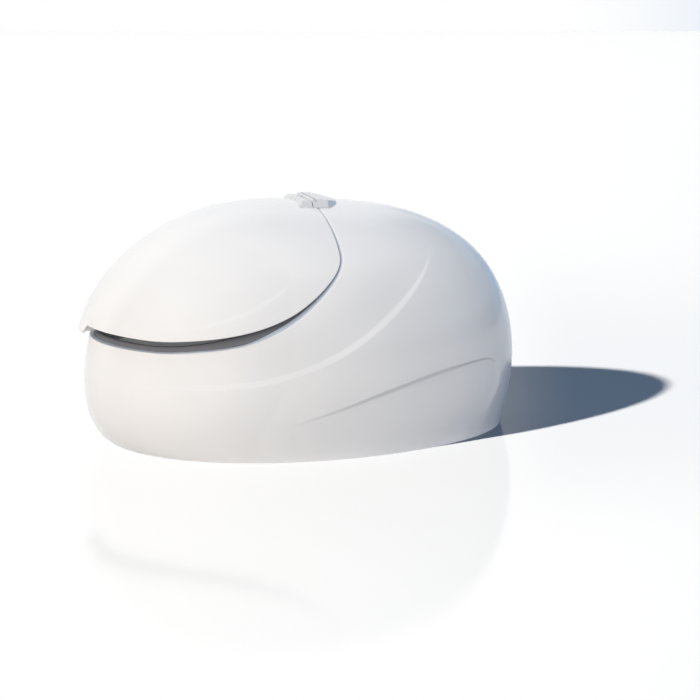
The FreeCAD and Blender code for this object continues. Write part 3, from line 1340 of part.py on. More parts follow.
for name, side in (("right", -1), ("left", 1)):
    start = Vector(anchor.x, side * size("strut_y"), anchor.z)
    place = Placement(start, Rotation(Vector(0, 0, 1), strut_way))
    eye = across_strut(size("strut_eye_radius"), 0, eye_width)
    neck = along_strut(size("strut_rod_radius"), 0, tube_start + tube_wall)
    stud_bore = across_strut(size("strut_stud_radius") + size("shaft_clearance"), 0, 2 * eye_width)
    eye = eye.fuse(neck).cut(stud_bore)
    tube = along_strut(size("strut_tube_radius"), tube_start, tube_length)
    tube = tube.cut(along_strut(bore_radius, tube_start + 3 * tube_wall, tube_length - 6 * tube_wall))
    rod_hole = along_strut(size("strut_rod_radius") + size("shaft_clearance"), piston_start, tube_length)
    barrel = tube.cut(rod_hole).fuse(eye)
    barrel.Placement = place
    formed("strut_tube_" + name, barrel)
    open_radius = size("strut_open_eye_radius")
    open_eye = across_strut(open_radius, strut_reach, eye_width)
    open_bore = across_strut(size("strut_stud_radius") + size("strut_open_clearance"), strut_reach,
                             2 * eye_width)
    piston = along_strut(bore_radius - 0.1, piston_start, 5 * tube_wall)
    stem = along_strut(size("strut_rod_radius"), piston_start, strut_reach - open_radius + 3 - piston_start)
    plunger = piston.fuse(stem).fuse(open_eye).cut(open_bore)
    plunger.Placement = place
    formed("strut_rod_" + name, plunger)


# ---------------------------------------------------------------- checking and writing
def write_parts():
    doc.recompute()
    for item in doc.Objects:
        if "Invalid" in item.State or "Error" in item.State:
            raise RuntimeError("%s did not build: %s" % (item.Label, item.State))
    os.makedirs("parts", exist_ok=True)
    for piece in parts:
        if piece.Shape.isNull() or not piece.Shape.isValid():
            raise RuntimeError("%s has no sound solid" % piece.Label)
        piece.Shape.exportStep(os.path.join("parts", piece.Label + ".step"))


write_parts()
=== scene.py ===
import json
import math

import bmesh
import bpy
import numpy as np
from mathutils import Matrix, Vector


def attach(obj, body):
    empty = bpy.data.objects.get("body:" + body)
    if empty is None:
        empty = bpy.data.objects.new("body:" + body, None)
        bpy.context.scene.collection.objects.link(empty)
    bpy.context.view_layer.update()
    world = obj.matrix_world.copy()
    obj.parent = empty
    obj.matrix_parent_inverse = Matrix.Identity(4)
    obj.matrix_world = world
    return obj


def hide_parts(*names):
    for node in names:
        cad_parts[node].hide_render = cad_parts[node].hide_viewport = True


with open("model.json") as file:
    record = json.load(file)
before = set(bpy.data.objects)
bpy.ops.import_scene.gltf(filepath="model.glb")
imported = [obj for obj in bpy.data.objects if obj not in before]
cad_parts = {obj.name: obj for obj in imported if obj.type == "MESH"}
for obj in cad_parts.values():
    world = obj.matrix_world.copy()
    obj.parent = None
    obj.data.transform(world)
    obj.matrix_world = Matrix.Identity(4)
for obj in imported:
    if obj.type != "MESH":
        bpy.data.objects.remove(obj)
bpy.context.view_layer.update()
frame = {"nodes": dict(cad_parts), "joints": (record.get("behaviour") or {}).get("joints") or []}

# ---------------------------------------------------------------- body moulding
# The pod's lower moulding is hand-laid glass-fibre laminate with a gloss white gelcoat.
# It comes out of its mould in one piece, with a raised crease round it, a sunk panel low
# on each flank, a rolled rim where the lid lands and a window at the tail for the plant.
HALF_LENGTH = 1.250
HALF_WIDTH = 0.885
CROWN = 1.299
EGG_SHIFT = 0.142
CROWN_RADIUS = 0.050
CROWN_AFT = 0.003
# Each station gives its share of the height, the nose's and the tail's shares of the half
# length, and its share of the half width.
STATIONS = (
    (0.000, -0.910, 0.938, 0.959),
    (0.030, -0.950, 0.942, 0.955),
    (0.140, -1.000, 0.982, 0.994),
    (0.330, -0.990, 1.000, 1.007),
    (0.560, -0.944, 0.966, 0.962),
    (0.800, -0.743, 0.822, 0.783),
    (0.960, -0.446, 0.526, 0.490),
    (1.000, -0.203, 0.243, 0.225),
)
HINGE_X = 0.030
HINGE_Z = 1.313
hinge_joint = [joint for joint in frame["joints"] if joint["name"] == "lid_hinge"][0]
shift_x = hinge_joint["pos_m"][0] - HINGE_X
VIEWPOINT = np.array([-0.15, 0.0, 0.60])
RAY_END = 2.4
RAY_HALVINGS = 38
WIDEST_SPREAD = 3.05
SPREAD_HALVINGS = 26
POLE_SPREAD = 0.02
COLUMNS = 640
LEVELS = 4000
SHARP_DEGREES = 35.0


def spline_weights(count, samples):
    """Weights of the poles of a clamped cubic curve, one row for each sample."""
    knots = np.concatenate(([0.0] * 3, np.linspace(0, 1, count - 2), [1.0] * 3))
    at = np.linspace(0, 1, samples)
    weights = ((at[:, None] >= knots[:-1]) & (at[:, None] < knots[1:])).astype(float)
    weights[-1, count - 1] = 1.0
    for degree in (1, 2, 3):
        risen = np.zeros((samples, weights.shape[1] - 1))
        for pole in range(risen.shape[1]):
            before = knots[pole + degree] - knots[pole]
            after = knots[pole + degree + 1] - knots[pole + 1]
            if before > 0:
                risen[:, pole] += (at - knots[pole]) / before * weights[:, pole]
            if after > 0:
                risen[:, pole] += (knots[pole + degree + 1] - at) / after * weights[:, pole + 1]
        weights = risen
    return weights


crown_middle = (STATIONS[-1][1] + STATIONS[-1][2]) / 2 + CROWN_AFT
crown_share = CROWN_RADIUS / HALF_LENGTH
stations = np.array(STATIONS + (
    (1.0, crown_middle - crown_share, crown_middle + crown_share, CROWN_RADIUS / HALF_WIDTH),))
fine = spline_weights(len(stations), LEVELS) @ stations
level_z = fine[:, 0] * CROWN + np.arange(LEVELS) * 1e-9
level_sizes = (fine[:, 1] * HALF_LENGTH, fine[:, 2] * HALF_LENGTH, fine[:, 3])


def at_level(z):
    """Where the nose and the tail are at a level, and the share of the half width there."""
    return [np.interp(z, level_z, sizes) for sizes in level_sizes]


def outside(points):
    """Below nought inside the pod's outer form and above nought outside it."""
    x, y, z = points[..., 0], points[..., 1], points[..., 2]
    nose, tail, breadth = at_level(z)
    across = y / (breadth * HALF_WIDTH)
    along = (x - (nose + tail) / 2 + EGG_SHIFT * breadth * across ** 2) / ((tail - nose) / 2)
    form = along ** 2 + across ** 2 - 1
    return np.where((z < 0) | (z > CROWN), 1.0, form)


def shrink(inset):
    """How the outer form is scaled to lie an even distance inside itself."""
    return np.array([1 - inset / HALF_LENGTH, 1 - inset / HALF_WIDTH, 1 - inset / CROWN])


def unit(vectors):
    return vectors / np.linalg.norm(vectors, axis=-1, keepdims=True)


lid_pole = unit(np.array([-0.5, 0.0, 0.47]))
pole_side = np.array([0.0, 1.0, 0.0])
pole_down = np.cross(lid_pole, pole_side)
azimuth = -math.pi / 2 - np.linspace(0, 2 * math.pi, COLUMNS, endpoint=False)


def rays(spread, turn):
    """Directions that spread from the lid's pole, turned about it."""
    around = np.cos(turn)[..., None] * pole_side + np.sin(turn)[..., None] * pole_down
    return np.cos(spread)[..., None] * lid_pole + np.sin(spread)[..., None] * around


def halved(low, high, steps, inside):
    """Narrows a range by halves round the place where a test stops being true."""
    for _ in range(steps):
        middle = (low + high) / 2
        holds = inside(middle)
        low, high = np.where(holds, middle, low), np.where(holds, high, middle)
    return low, high


def on_form(spread, inset=0.0, turn=azimuth):
    """Points where rays of this spread leave the form, or a form that lies inside it."""
    scale = shrink(inset)
    way = rays(spread, turn)
    near, _ = halved(np.zeros(spread.shape), np.full(spread.shape, RAY_END), RAY_HALVINGS,
                     lambda at: outside((VIEWPOINT + way * at[..., None]) / scale) < 0)
    return VIEWPOINT + way * near[..., None]


def facing(points):
    """Outward normals of the form near its surface."""
    step = 0.0008
    at_floor = points[..., 2:] < step
    points = points + at_floor * np.array([0.0, 0.0, 2 * step])
    return unit(np.stack([outside(points + nudge) - outside(points - nudge)
                          for nudge in step * np.eye(3)], -1))


# The parting line in the side view is one Bezier sweep from the nose up to the crown.
RIM_START = np.array([-0.946, 0.582])
RIM_LEAD = np.array([-0.470, 0.582])
RIM_TRAIL = np.array([0.110, 0.881])
RIM_END = np.array([0.110, 1.089])
RIM_CROWN_X = 0.040
RIM_BOW = 0.19
RIM_BLEND = 0.02
share = np.linspace(0, 1, 120)[:, None]
sweep = ((1 - share) ** 3 * RIM_START + 3 * share * (1 - share) ** 2 * RIM_LEAD
         + 3 * share ** 2 * (1 - share) * RIM_TRAIL + share ** 3 * RIM_END)
sweep = np.concatenate(([[-3.0, RIM_START[1]]], sweep, [[RIM_END[0], 3.0]]))


def lid_side(points):
    """Distance to the parting line, above nought on the lid's side."""
    flat = points[..., [0, 2]]
    begin, end = sweep[:-1], sweep[1:]
    run = end - begin
    length = np.linalg.norm(run, axis=1)
    best = np.full(flat.shape[:-1], 1e9)
    signed = np.zeros(flat.shape[:-1])
    for number in range(len(run)):
        offset = flat - begin[number]
        along = np.clip((offset @ run[number]) / length[number] ** 2, 0, 1)
        gap = offset - along[..., None] * run[number]
        distance = np.linalg.norm(gap, axis=-1)
        side = run[number][0] * offset[..., 1] - run[number][1] * offset[..., 0]
        nearer = distance < best
        best = np.where(nearer, distance, best)
        signed = np.where(nearer, np.sign(side) * distance, signed)
    crown = RIM_CROWN_X + RIM_BOW * points[..., 1] ** 2 - points[..., 0]
    return -RIM_BLEND * np.log(np.exp(-signed / RIM_BLEND)
                               + np.exp(-np.clip(crown, -0.5, 0.5) / RIM_BLEND))


def seek(measure, target, inset=0.0, low=0.05):
    """Spread at which a falling measure of the form's surface reaches its target."""
    low, high = halved(np.full(COLUMNS, low), np.full(COLUMNS, WIDEST_SPREAD), SPREAD_HALVINGS,
                       lambda spread: measure(on_form(spread, inset)) > target)
    return (low + high) / 2


def smoothstep(low, high, value):
    share = np.clip((value - low) / (high - low), 0, 1)
    return share * share * (3 - 2 * share)


def profiled(points, value, *steps):
    """A value that starts at the nose and changes in soft steps, each given by its change and
    the places along the tank where it begins and ends."""
    for change, begin, end in steps:
        value = value + change * smoothstep(begin, end, points[..., 0])
    return value


SMOOTHED = 12
# The outer rim lies below the parting line, most of all beside the bather's head.
RIM_FALL = (0.006, (0.027, -0.80, -0.38), (-0.036, -0.33, 0.09))


def on_parting(offset, inset=0.0, fall=0.0):
    """Spread at an offset from the parting line, or from the fallen rim where fall is 1."""
    return seek(lambda points: lid_side(points) + fall * profiled(points, *RIM_FALL), offset, inset)


def seen(points):
    """Spread and turn of points, seen from the viewpoint."""
    way = np.array(points) - VIEWPOINT
    return np.arccos(unit(way) @ lid_pole), np.arctan2(way @ pole_down, way @ pole_side)


def from_tail(turn):
    """How far a turn is from the tail, the same on both flanks."""
    return np.abs((-math.pi / 2 - turn + math.pi) % (2 * math.pi) - math.pi)


def floor_spread():
    """Spread of the form's foot, where its side meets the floor."""
    around = np.linspace(0, 2 * math.pi, 2400, endpoint=False)
    nose, tail, breadth = at_level(0.0)
    y = breadth * HALF_WIDTH * np.sin(around)
    x = (nose + tail) / 2 + (tail - nose) / 2 * np.cos(around) - EGG_SHIFT * breadth * np.sin(around) ** 2
    spread, turn = seen(np.stack([x, y, 0 * x], -1))
    order = np.argsort(turn)
    return np.interp((azimuth + math.pi) % (2 * math.pi) - math.pi, turn[order], spread[order],
                     period=2 * math.pi)


def flank_row(points, nose_end=None):
    """Spread of a line drawn on one flank, carried on level to the tail and to the nose."""
    spread, turn = seen(points)
    order = np.argsort(from_tail(turn))
    at = np.append(from_tail(turn)[order], math.pi)
    value = np.append(spread[order], spread[order[-1]] if nose_end is None else nose_end)
    smooth = np.interp(from_tail(azimuth), at, value)
    window = np.hanning(2 * SMOOTHED + 1)
    wrapped = np.concatenate((smooth[-SMOOTHED:], smooth, smooth[:SMOOTHED]))
    return np.convolve(wrapped, window / window.sum(), mode="valid")


# The raised crease runs from the crown round to the nose, and the sunk panel's upper edge
# from its front end to the hook at the tail.  Both are given on the right flank.
CREASE = (
    (0.650, -0.375, 1.112), (0.555, -0.600, 0.940), (0.315, -0.780, 0.723), (0.030, -0.864, 0.552),
    (-0.300, -0.874, 0.441), (-0.605, -0.812, 0.400), (-0.900, -0.660, 0.397), (-1.053, -0.511, 0.413),
)
PANEL_EDGE = (
    (-0.353, -0.858, 0.179), (-0.030, -0.877, 0.267), (0.290, -0.833, 0.361), (0.614, -0.725, 0.433),
    (0.890, -0.567, 0.454), (1.000, -0.480, 0.430), (1.048, -0.432, 0.358), (1.058, -0.425, 0.270),
    (1.000, -0.475, 0.120), (0.940, -0.515, 0.004),
)
PANEL_CORNER = 5
FLANK_REACH = 0.7
BEYOND = 9.0


def along_line(points, line, normals):
    """Signed distance along the form to a line drawn on it, and the share of its length there."""
    run = line[1:] - line[:-1]
    length = np.linalg.norm(run, axis=1)
    start = np.concatenate(([0.0], np.cumsum(length)))
    best = np.full(points.shape[:-1], 1e9)
    signed = np.zeros(points.shape[:-1])
    place = np.zeros(points.shape[:-1])
    for number in range(len(run)):
        offset = points - line[number]
        along = np.clip((offset @ run[number]) / length[number] ** 2, 0, 1)
        gap = laid(offset - along[..., None] * run[number], normals)
        distance = np.linalg.norm(gap, axis=-1)
        side = np.einsum("...k,...k->...", np.cross(run[number], gap), normals)
        nearer = (distance < best) & (np.linalg.norm(offset, axis=-1) < FLANK_REACH)
        best = np.where(nearer, distance, best)
        signed = np.where(nearer, np.sign(side) * distance, signed)
        place = np.where(nearer, start[number] + along * length[number], place)
    return np.where(best > 1.0, BEYOND, signed), place / start[-1]


def laid(vectors, normals):
    """Vectors with their part along the normals taken out."""
    return vectors - np.einsum("...k,...k->...", vectors, normals)[..., None] * normals


def smooth_line(points, per_span=16):
    """An even curve through points, laid on the form."""
    points = np.array(points)
    ends = np.concatenate((2 * points[:1] - points[1:2], points, 2 * points[-1:] - points[-2:-1]))
    curve = []
    for number in range(len(points) - 1):
        before, begin, end, after = ends[number:number + 4]
        for step in range(per_span):
            t = step / per_span
            curve.append(0.5 * (2 * begin + (end - before) * t
                                + (2 * before - 5 * begin + 4 * end - after) * t ** 2
                                + (3 * begin - before - 3 * end + after) * t ** 3))
    spread, turn = seen(curve + [points[-1]])
    return on_form(spread, turn=turn)


crease_line = smooth_line(CREASE)
panel_line = smooth_line(PANEL_EDGE)
# The steps that are pressed into the form: their depth, the band that they fall in, and the
# distances beyond it at which they begin to fade and are gone.
CREASE_STEP = 0.0085
CREASE_BAND = 0.034
PANEL_STEP = 0.0120
PANEL_BAND = 0.024
HOOK_BAND = 0.05
CREASE_FADE = (0.02, 0.24)
PANEL_FADE = (0.04, 0.34)


def on_right(points, values):
    """Values of points, mirrored to the right flank where their points are on the left one."""
    return np.where(points[..., 1:2] > 0, values * np.array([1.0, -1.0, 1.0]), values)


def stepped(away, band, height, fade, rounded=False):
    """Depth of a step pressed in along a line: it grows across the band and fades out beyond."""
    rise = np.clip(-away / band, 0, 1)
    rise = np.where(rounded, rise * rise * (3 - 2 * rise), rise)
    return np.where(away < 0, height * rise * (1 - smoothstep(*fade, -away - band)), 0.0)


def pressed(points, normals):
    """How far the moulding lies inside the plain form at each point of it.  Both steps grow
    and weaken over shares of their line's length, and the panel's ends in a broad hook."""
    near, turned = on_right(points, points), on_right(points, normals)
    away, place = along_line(near, crease_line, turned)
    strength = smoothstep(0.0, 0.30, place) * (1 - smoothstep(0.80, 1.0, place))
    depth = stepped(away, CREASE_BAND * (0.25 + 0.75 * strength), CREASE_STEP * strength, CREASE_FADE)
    away, place = along_line(near, panel_line, turned)
    strength = smoothstep(0.0, 0.42, place) * (1 - 0.45 * smoothstep(0.55, 0.75, place))
    hook = smoothstep(0.76, 0.86, place)
    band = PANEL_BAND * (0.35 + 0.65 * strength) * (1 - 0.45 * smoothstep(0.5, 0.7, place))
    height = PANEL_STEP * strength * (1 - 0.3 * hook)
    return depth + stepped(away, band + HOOK_BAND * hook, height, PANEL_FADE, hook > 0.5)


def spaced(start, end, count):
    """Rows from start up to end, the last one left out."""
    part = np.linspace(0, 1, count, endpoint=False)[:, None]
    return start * (1 - part) + end * part


SKIN = 0.014
RIM_ROLL = 0.0045
FLANGE_REACH = 0.0232
FLANGE_DEPTH = 0.0110
rolled_rim = on_parting(-RIM_ROLL, fall=1.0)
foot = floor_spread()
ROWS_APART = 0.03
crease_row = np.clip(flank_row(CREASE), rolled_rim + 0.10, foot - 0.14)
panel_row = np.clip(flank_row(PANEL_EDGE[:PANEL_CORNER + 1]), crease_row + 0.09, foot - 0.045)


def metres_per_turn(spread):
    """Length on the form of a small step of spread."""
    step = 0.005
    return np.linalg.norm(on_form(spread + step) - on_form(spread - step), axis=-1) / (2 * step)


def close_rows(row, reach, count):
    """Rows that crowd round a line, at even distances on the form."""
    scale = metres_per_turn(row)
    return np.array([row + distance / scale for distance in np.linspace(-reach, reach, count)])


around_crease = close_rows(crease_row, 0.052, 21)
around_panel = close_rows(panel_row, 0.036, 17)
spreads = np.concatenate((
    spaced(rolled_rim, np.maximum(around_crease[0], rolled_rim + ROWS_APART), 18),
    np.maximum(around_crease, rolled_rim + ROWS_APART),
    spaced(around_crease[-1], np.maximum(around_panel[0], around_crease[-1] + 0.01), 12)[1:],
    np.maximum(around_panel, around_crease[-1] + 0.01),
    spaced(around_panel[-1], foot, 15)[1:],
))
spreads = np.maximum.accumulate(spreads, axis=0)
spreads = np.minimum(spreads, foot - 0.002)
surface = on_form(spreads)
outward = facing(surface)
press = pressed(surface, outward)
surface = surface - outward * press[..., None]

foot_row = on_form(foot - 0.0005)
foot_row[:, 2] = 0.0
backs = slice(-2, 0, -4)
inner_face = on_form(spreads[backs], SKIN) - outward[backs] * press[backs][..., None]
inner_foot = inner_face[0].copy()
inner_foot[:, 2] = 0.0


def placed(points):
    """From the hull's own middle to the tank's frame."""
    return points + np.array([shift_x, 0.0, 0.0])


def skinned(name, rows, start_pole=None, end_pole=None, closed=False):
    """A smooth mesh piece through rows of points, each row a loop of the same length."""
    wide, last = len(rows[0]), len(rows) - 1
    points = list(np.concatenate(rows))
    column = np.arange(wide)
    following = (column + 1) % wide
    faces = []
    for upper, lower in [(row, row + 1) for row in range(last)] + [(last, 0)] * closed:
        faces += np.stack([upper * wide + column, upper * wide + following,
                           lower * wide + following, lower * wide + column], -1).tolist()
    for pole, row, way in ((start_pole, 0, -1), (end_pole, last, 1)):
        if pole is not None:
            corners = row * wide + np.stack([column, following][::way], -1)
            faces += [[len(points), first, second] for first, second in corners.tolist()]
            points.append(pole)
    mesh = bpy.data.meshes.new(name)
    mesh.from_pydata(placed(np.array(points)).tolist(), [], faces)
    return finished(name, mesh)


def in_scene(name, data):
    """An object of this data, linked into the scene."""
    piece = bpy.data.objects.new(name, data)
    bpy.context.scene.collection.objects.link(piece)
    return piece


def finished(name, mesh, sharp=SHARP_DEGREES):
    """Links a mesh as a piece, with its faces outward and only its true edges sharp."""
    work = bmesh.new()
    work.from_mesh(mesh)
    bmesh.ops.recalc_face_normals(work, faces=work.faces)
    work.to_mesh(mesh)
    work.free()
    mesh.shade_smooth()
    mesh.set_sharp_from_angle(angle=math.radians(sharp))
    return in_scene(name, mesh)


def section(corners, lid=False):
    """Rows through the corners of a section.  A corner is given by its inset, its offset from
    the parting line and, on the body, the share of the rim's fall that it follows."""
    rows = []
    for inset, offset, *fall in corners:
        spread = on_lid_parting(offset, inset) if lid else on_parting(offset, inset, *fall)
        rows.append(on_form(spread, inset))
    return rows


# The rim turns over the edge in an even roll.
rim_roll = [(RIM_ROLL - RIM_ROLL * math.cos(turn), RIM_ROLL * math.sin(turn) - RIM_ROLL, 1.0)
            for turn in np.linspace(0, math.pi / 2, 6)[1:]]
flange = section([(SKIN, -FLANGE_DEPTH - 0.002, 1.0), (SKIN, -FLANGE_DEPTH, 1.0),
                  (RIM_ROLL + 0.002, -0.004, 1.0)] + list(reversed(rim_roll)))
body_moulding = skinned("body_moulding", flange + list(surface) + [foot_row, inner_foot] + list(inner_face),
                        closed=True)

WINDOW_HALF = 0.260
WINDOW_BOTTOM = 0.116
WINDOW_TOP = 0.424
WINDOW_FROM = 0.6
WINDOW_TO = 1.6


def block(name, low, high):
    """A plain cutter, taken away again after its cut."""
    mesh = bpy.data.meshes.new(name)
    work = bmesh.new()
    made = bmesh.ops.create_cube(work, size=1.0)
    for vertex in made["verts"]:
        vertex.co = Vector([low[axis] + (vertex.co[axis] + 0.5) * (high[axis] - low[axis])
                            for axis in range(3)])
    work.to_mesh(mesh)
    work.free()
    return in_scene(name, mesh)


def cut_away(piece, cutter):
    """Cuts the cutter's room out of a piece for good."""
    modifier = piece.modifiers.new("cut", "BOOLEAN")
    modifier.operation = "DIFFERENCE"
    modifier.solver = "EXACT"
    modifier.object = cutter
    shown = piece.evaluated_get(bpy.context.evaluated_depsgraph_get())
    mesh = bpy.data.meshes.new_from_object(shown)
    piece.modifiers.remove(modifier)
    piece.data = mesh
    mesh.set_sharp_from_angle(angle=math.radians(SHARP_DEGREES))
    bpy.data.objects.remove(cutter)


window_cutter = block("window_cutter", (WINDOW_FROM, -WINDOW_HALF, WINDOW_BOTTOM),
                      (WINDOW_TO, WINDOW_HALF, WINDOW_TOP))
cut_away(body_moulding, window_cutter)


def linear(code):
    """The linear colour of an sRGB hex code."""
    channels = [int(code[place:place + 2], 16) / 255 for place in (1, 3, 5)]
    return [c / 12.92 if c <= 0.04045 else ((c + 0.055) / 1.055) ** 2.4 for c in channels] + [1.0]


def add(tree, kind, links=None, inputs=None, **settings):
    """Adds a node, with its settings, its input values and the sockets that feed it."""
    node = tree.nodes.new(kind)
    for name, value in settings.items():
        setattr(node, name, value)
    for name, value in (inputs or {}).items():
        node.inputs[name].default_value = value
    for name, socket in (links or {}).items():
        tree.links.new(socket, node.inputs[name])
    return node


def new_material(name):
    """An empty node material, its tree and its object coordinates."""
    material = bpy.data.materials.new(name)
    material.use_nodes = True
    tree = material.node_tree
    tree.nodes.clear()
    return material, tree, add(tree, "ShaderNodeTexCoord").outputs["Object"]


def scale_for(millimetres):
    """Scale of a pattern whose grain has this size."""
    return 1000.0 / millimetres


def noise(tree, place, grain_mm, detail, roughness=0.5):
    """A noise whose grain has this size."""
    return add(tree, "ShaderNodeTexNoise", {"Vector": place},
               {"Scale": scale_for(grain_mm), "Detail": detail, "Roughness": roughness}).outputs["Fac"]


def ranged(tree, value, low, high, begin=0.3, end=0.7, **settings):
    """Runs from low to high while a value runs from its begin to its end."""
    ends = {"From Min": begin, "From Max": end, "To Min": low, "To Max": high}
    return add(tree, "ShaderNodeMapRange", {"Value": value}, ends, **settings).outputs["Result"]


def mixed(tree, share, first, second):
    """A colour between two others, each of them a plain colour or a socket."""
    node = add(tree, "ShaderNodeMix", {"Factor": share}, data_type="RGBA")
    for number, colour in ((6, first), (7, second)):
        if isinstance(colour, bpy.types.NodeSocket):
            tree.links.new(colour, node.inputs[number])
        else:
            node.inputs[number].default_value = colour
    return node.outputs[2]


def relief(tree, height, strength, depth, **under):
    """The normal of a relief of this depth in metres, over another normal where one is given."""
    return add(tree, "ShaderNodeBump", {"Height": height, **under},
               {"Strength": strength, "Distance": depth}).outputs["Normal"]


def close(material, shader):
    """Ends a material with its shader."""
    add(material.node_tree, "ShaderNodeOutputMaterial", {"Surface": shader.outputs[0]})
    return material


def principled(material, links, inputs):
    return close(material, add(material.node_tree, "ShaderNodeBsdfPrincipled", links, inputs))


def polished_gelcoat(name, tint, shade, gloss):
    """Gelcoat off a polished mould: a hard even white with a faint cloud in it, long soft
    waves from the mould that bend reflections a little, and hairline polishing marks."""
    material, tree, place = new_material(name)
    colour = add(tree, "ShaderNodeValToRGB", {"Fac": noise(tree, place, 420.0, 3.0)})
    for element, position, code in zip(colour.color_ramp.elements, (0.30, 0.70), (shade, tint)):
        element.position = position
        element.color = linear(code)
    haze = ranged(tree, noise(tree, place, 60.0, 4.0, 0.6), gloss - 0.03, gloss + 0.04)
    waves = relief(tree, noise(tree, place, 90.0, 1.0, 0.4), 0.10, 0.0015)
    peel = relief(tree, noise(tree, place, 7.0, 2.0), 0.04, 0.0003, Normal=waves)
    return principled(material, {"Base Color": colour.outputs["Color"], "Roughness": haze, "Normal": peel},
                      {"IOR": 1.46, "Coat Weight": 0.20, "Coat Roughness": 0.05, "Coat IOR": 1.5})


def dress(piece, material, slot, body, *nodes):
    """Gives a piece its finish and its place among the moving bodies."""
    piece.data.materials.clear()
    piece.data.materials.append(material)
    if nodes:
        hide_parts(*nodes)
    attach(piece, body)


def finish_nodes(material, *nodes):
    """Gives solids that stay as they are their finish."""
    for node in nodes:
        for place in frame["nodes"][node].material_slots:
            place.material = material


white_gelcoat = polished_gelcoat("white_gelcoat", "#E8E8E7", "#E5E5E4", 0.20)
dress(body_moulding, white_gelcoat, "shell_gelcoat", "tank", "body_shell")

# ---------------------------------------------------------------- lid moulding
# The lid is a second laminate shell in the same gelcoat.  Its edge is rolled, a faint
# crease runs inside the edge, and a beak at the nose stands off the body for the fingers.
AJAR = math.radians(3.41)
OVERLAP = math.radians(0.76)
LID_SKIN = 0.007
LID_ROLL = 0.0032
BEAK_DROP = 0.040
BEAK_FLARE = 0.012
BEAK_THICKER = 0.010
BEAK_ROUNDER = 0.0045
BEAK_HALF = 0.118
BEAK_END = 0.146
BEAK_AFT = -0.9
# The lid's edge stands above its plain cut at the nose and dips below it beside the head.
LID_LIFT = (0.018, (-0.028, -0.78, -0.22), (0.015, -0.20, 0.05))
# The faint crease is given on the right flank, with the lid ajar.
LID_CREASE_AJAR = (
    (-0.136, -0.681, 1.014), (-0.283, -0.759, 0.874), (-0.494, -0.766, 0.769), (-0.742, -0.693, 0.700),
    (-0.861, -0.620, 0.686),
)


def about_hinge(points, angle):
    """Turns points about the hinge; a positive angle lifts the nose."""
    x = points[..., 0] - HINGE_X
    z = points[..., 2] - HINGE_Z
    turned = np.array(points, dtype=float)
    turned[..., 0] = HINGE_X + x * math.cos(angle) + z * math.sin(angle)
    turned[..., 2] = HINGE_Z - x * math.sin(angle) + z * math.cos(angle)
    return turned


def lid_edge_side(points):
    """Distance to the line that the lid's edge is cut along."""
    return lid_side(about_hinge(points, OVERLAP))


def beak_share(points):
    """Full in the middle of the nose, nought away from it."""
    side = 1 - smoothstep(BEAK_HALF, BEAK_END, np.abs(points[..., 1]))
    return side * (points[..., 0] < BEAK_AFT)


def on_lid_parting(offset, inset=0.0, lift=0.0):
    """Spread at an offset from the lid's cut, or from its lifted edge where lift is 1."""
    return seek(lambda points: (lid_edge_side(points) + BEAK_DROP * beak_share(points)
                                - lift * profiled(points, *LID_LIFT)), offset, inset)


def rolled_edge(last, inner_way, edge_way, radius, thickness, steps=5):
    """Rows round the edge of a skin: last is where the roll starts on the outer face."""
    rows = []
    for turn in np.linspace(0, math.pi / 2, steps)[1:]:
        rows.append(last + edge_way * radius * math.sin(turn) + inner_way * radius * (1 - math.cos(turn)))
    back = np.minimum(radius, thickness - radius)
    for turn in np.linspace(0, math.pi / 2, steps):
        rows.append(last + edge_way * (radius - back + back * math.cos(turn))
                    + inner_way * (thickness - back + back * math.sin(turn)))
    return rows


lid_edge = on_lid_parting(LID_ROLL, lift=1.0)
lid_line = smooth_line(about_hinge(np.array(LID_CREASE_AJAR), -AJAR))
lid_crease_row = flank_row(lid_line[::10], seen(lid_line)[0][-1])
lid_crease_row = np.clip(lid_crease_row, 0.3, lid_edge - 0.05)
around_lid_crease = np.minimum(close_rows(lid_crease_row, 0.030, 15), lid_edge - 0.03)
lid_spreads = np.concatenate((
    spaced(np.full(COLUMNS, POLE_SPREAD), around_lid_crease[0], 44),
    around_lid_crease,
    spaced(around_lid_crease[-1], lid_edge, 16)[1:],
    lid_edge[None, :],
))
lid_face = on_form(lid_spreads)
lid_normal = facing(lid_face)
LID_STEP = 0.0035
LID_BAND = 0.022
LID_FADE = (0.02, 0.20)
mirrored = on_right(lid_face, lid_face)
away, place = along_line(mirrored, lid_line, on_right(lid_face, lid_normal))
strength = smoothstep(0.0, 0.35, place) * (1 - smoothstep(0.55, 1.0, place))
lid_depth = stepped(away, LID_BAND * (0.3 + 0.7 * strength), LID_STEP * strength, LID_FADE)

# Beside the beak a shallow round scoop on each side gives the fingers room.
SCOOP_RADIUS = 0.057
SCOOP_DEPTH = 0.003
SCOOP_SIDE = 0.205
scoop_x = -HALF_LENGTH * math.sqrt(1 - (SCOOP_SIDE / HALF_WIDTH) ** 2)
scoop_middle = np.array([scoop_x, -SCOOP_SIDE, RIM_START[1] + 0.005])
scoop = 1 - smoothstep(0.85 * SCOOP_RADIUS, SCOOP_RADIUS, np.linalg.norm(mirrored - scoop_middle, axis=-1))
lid_depth = lid_depth + SCOOP_DEPTH * scoop
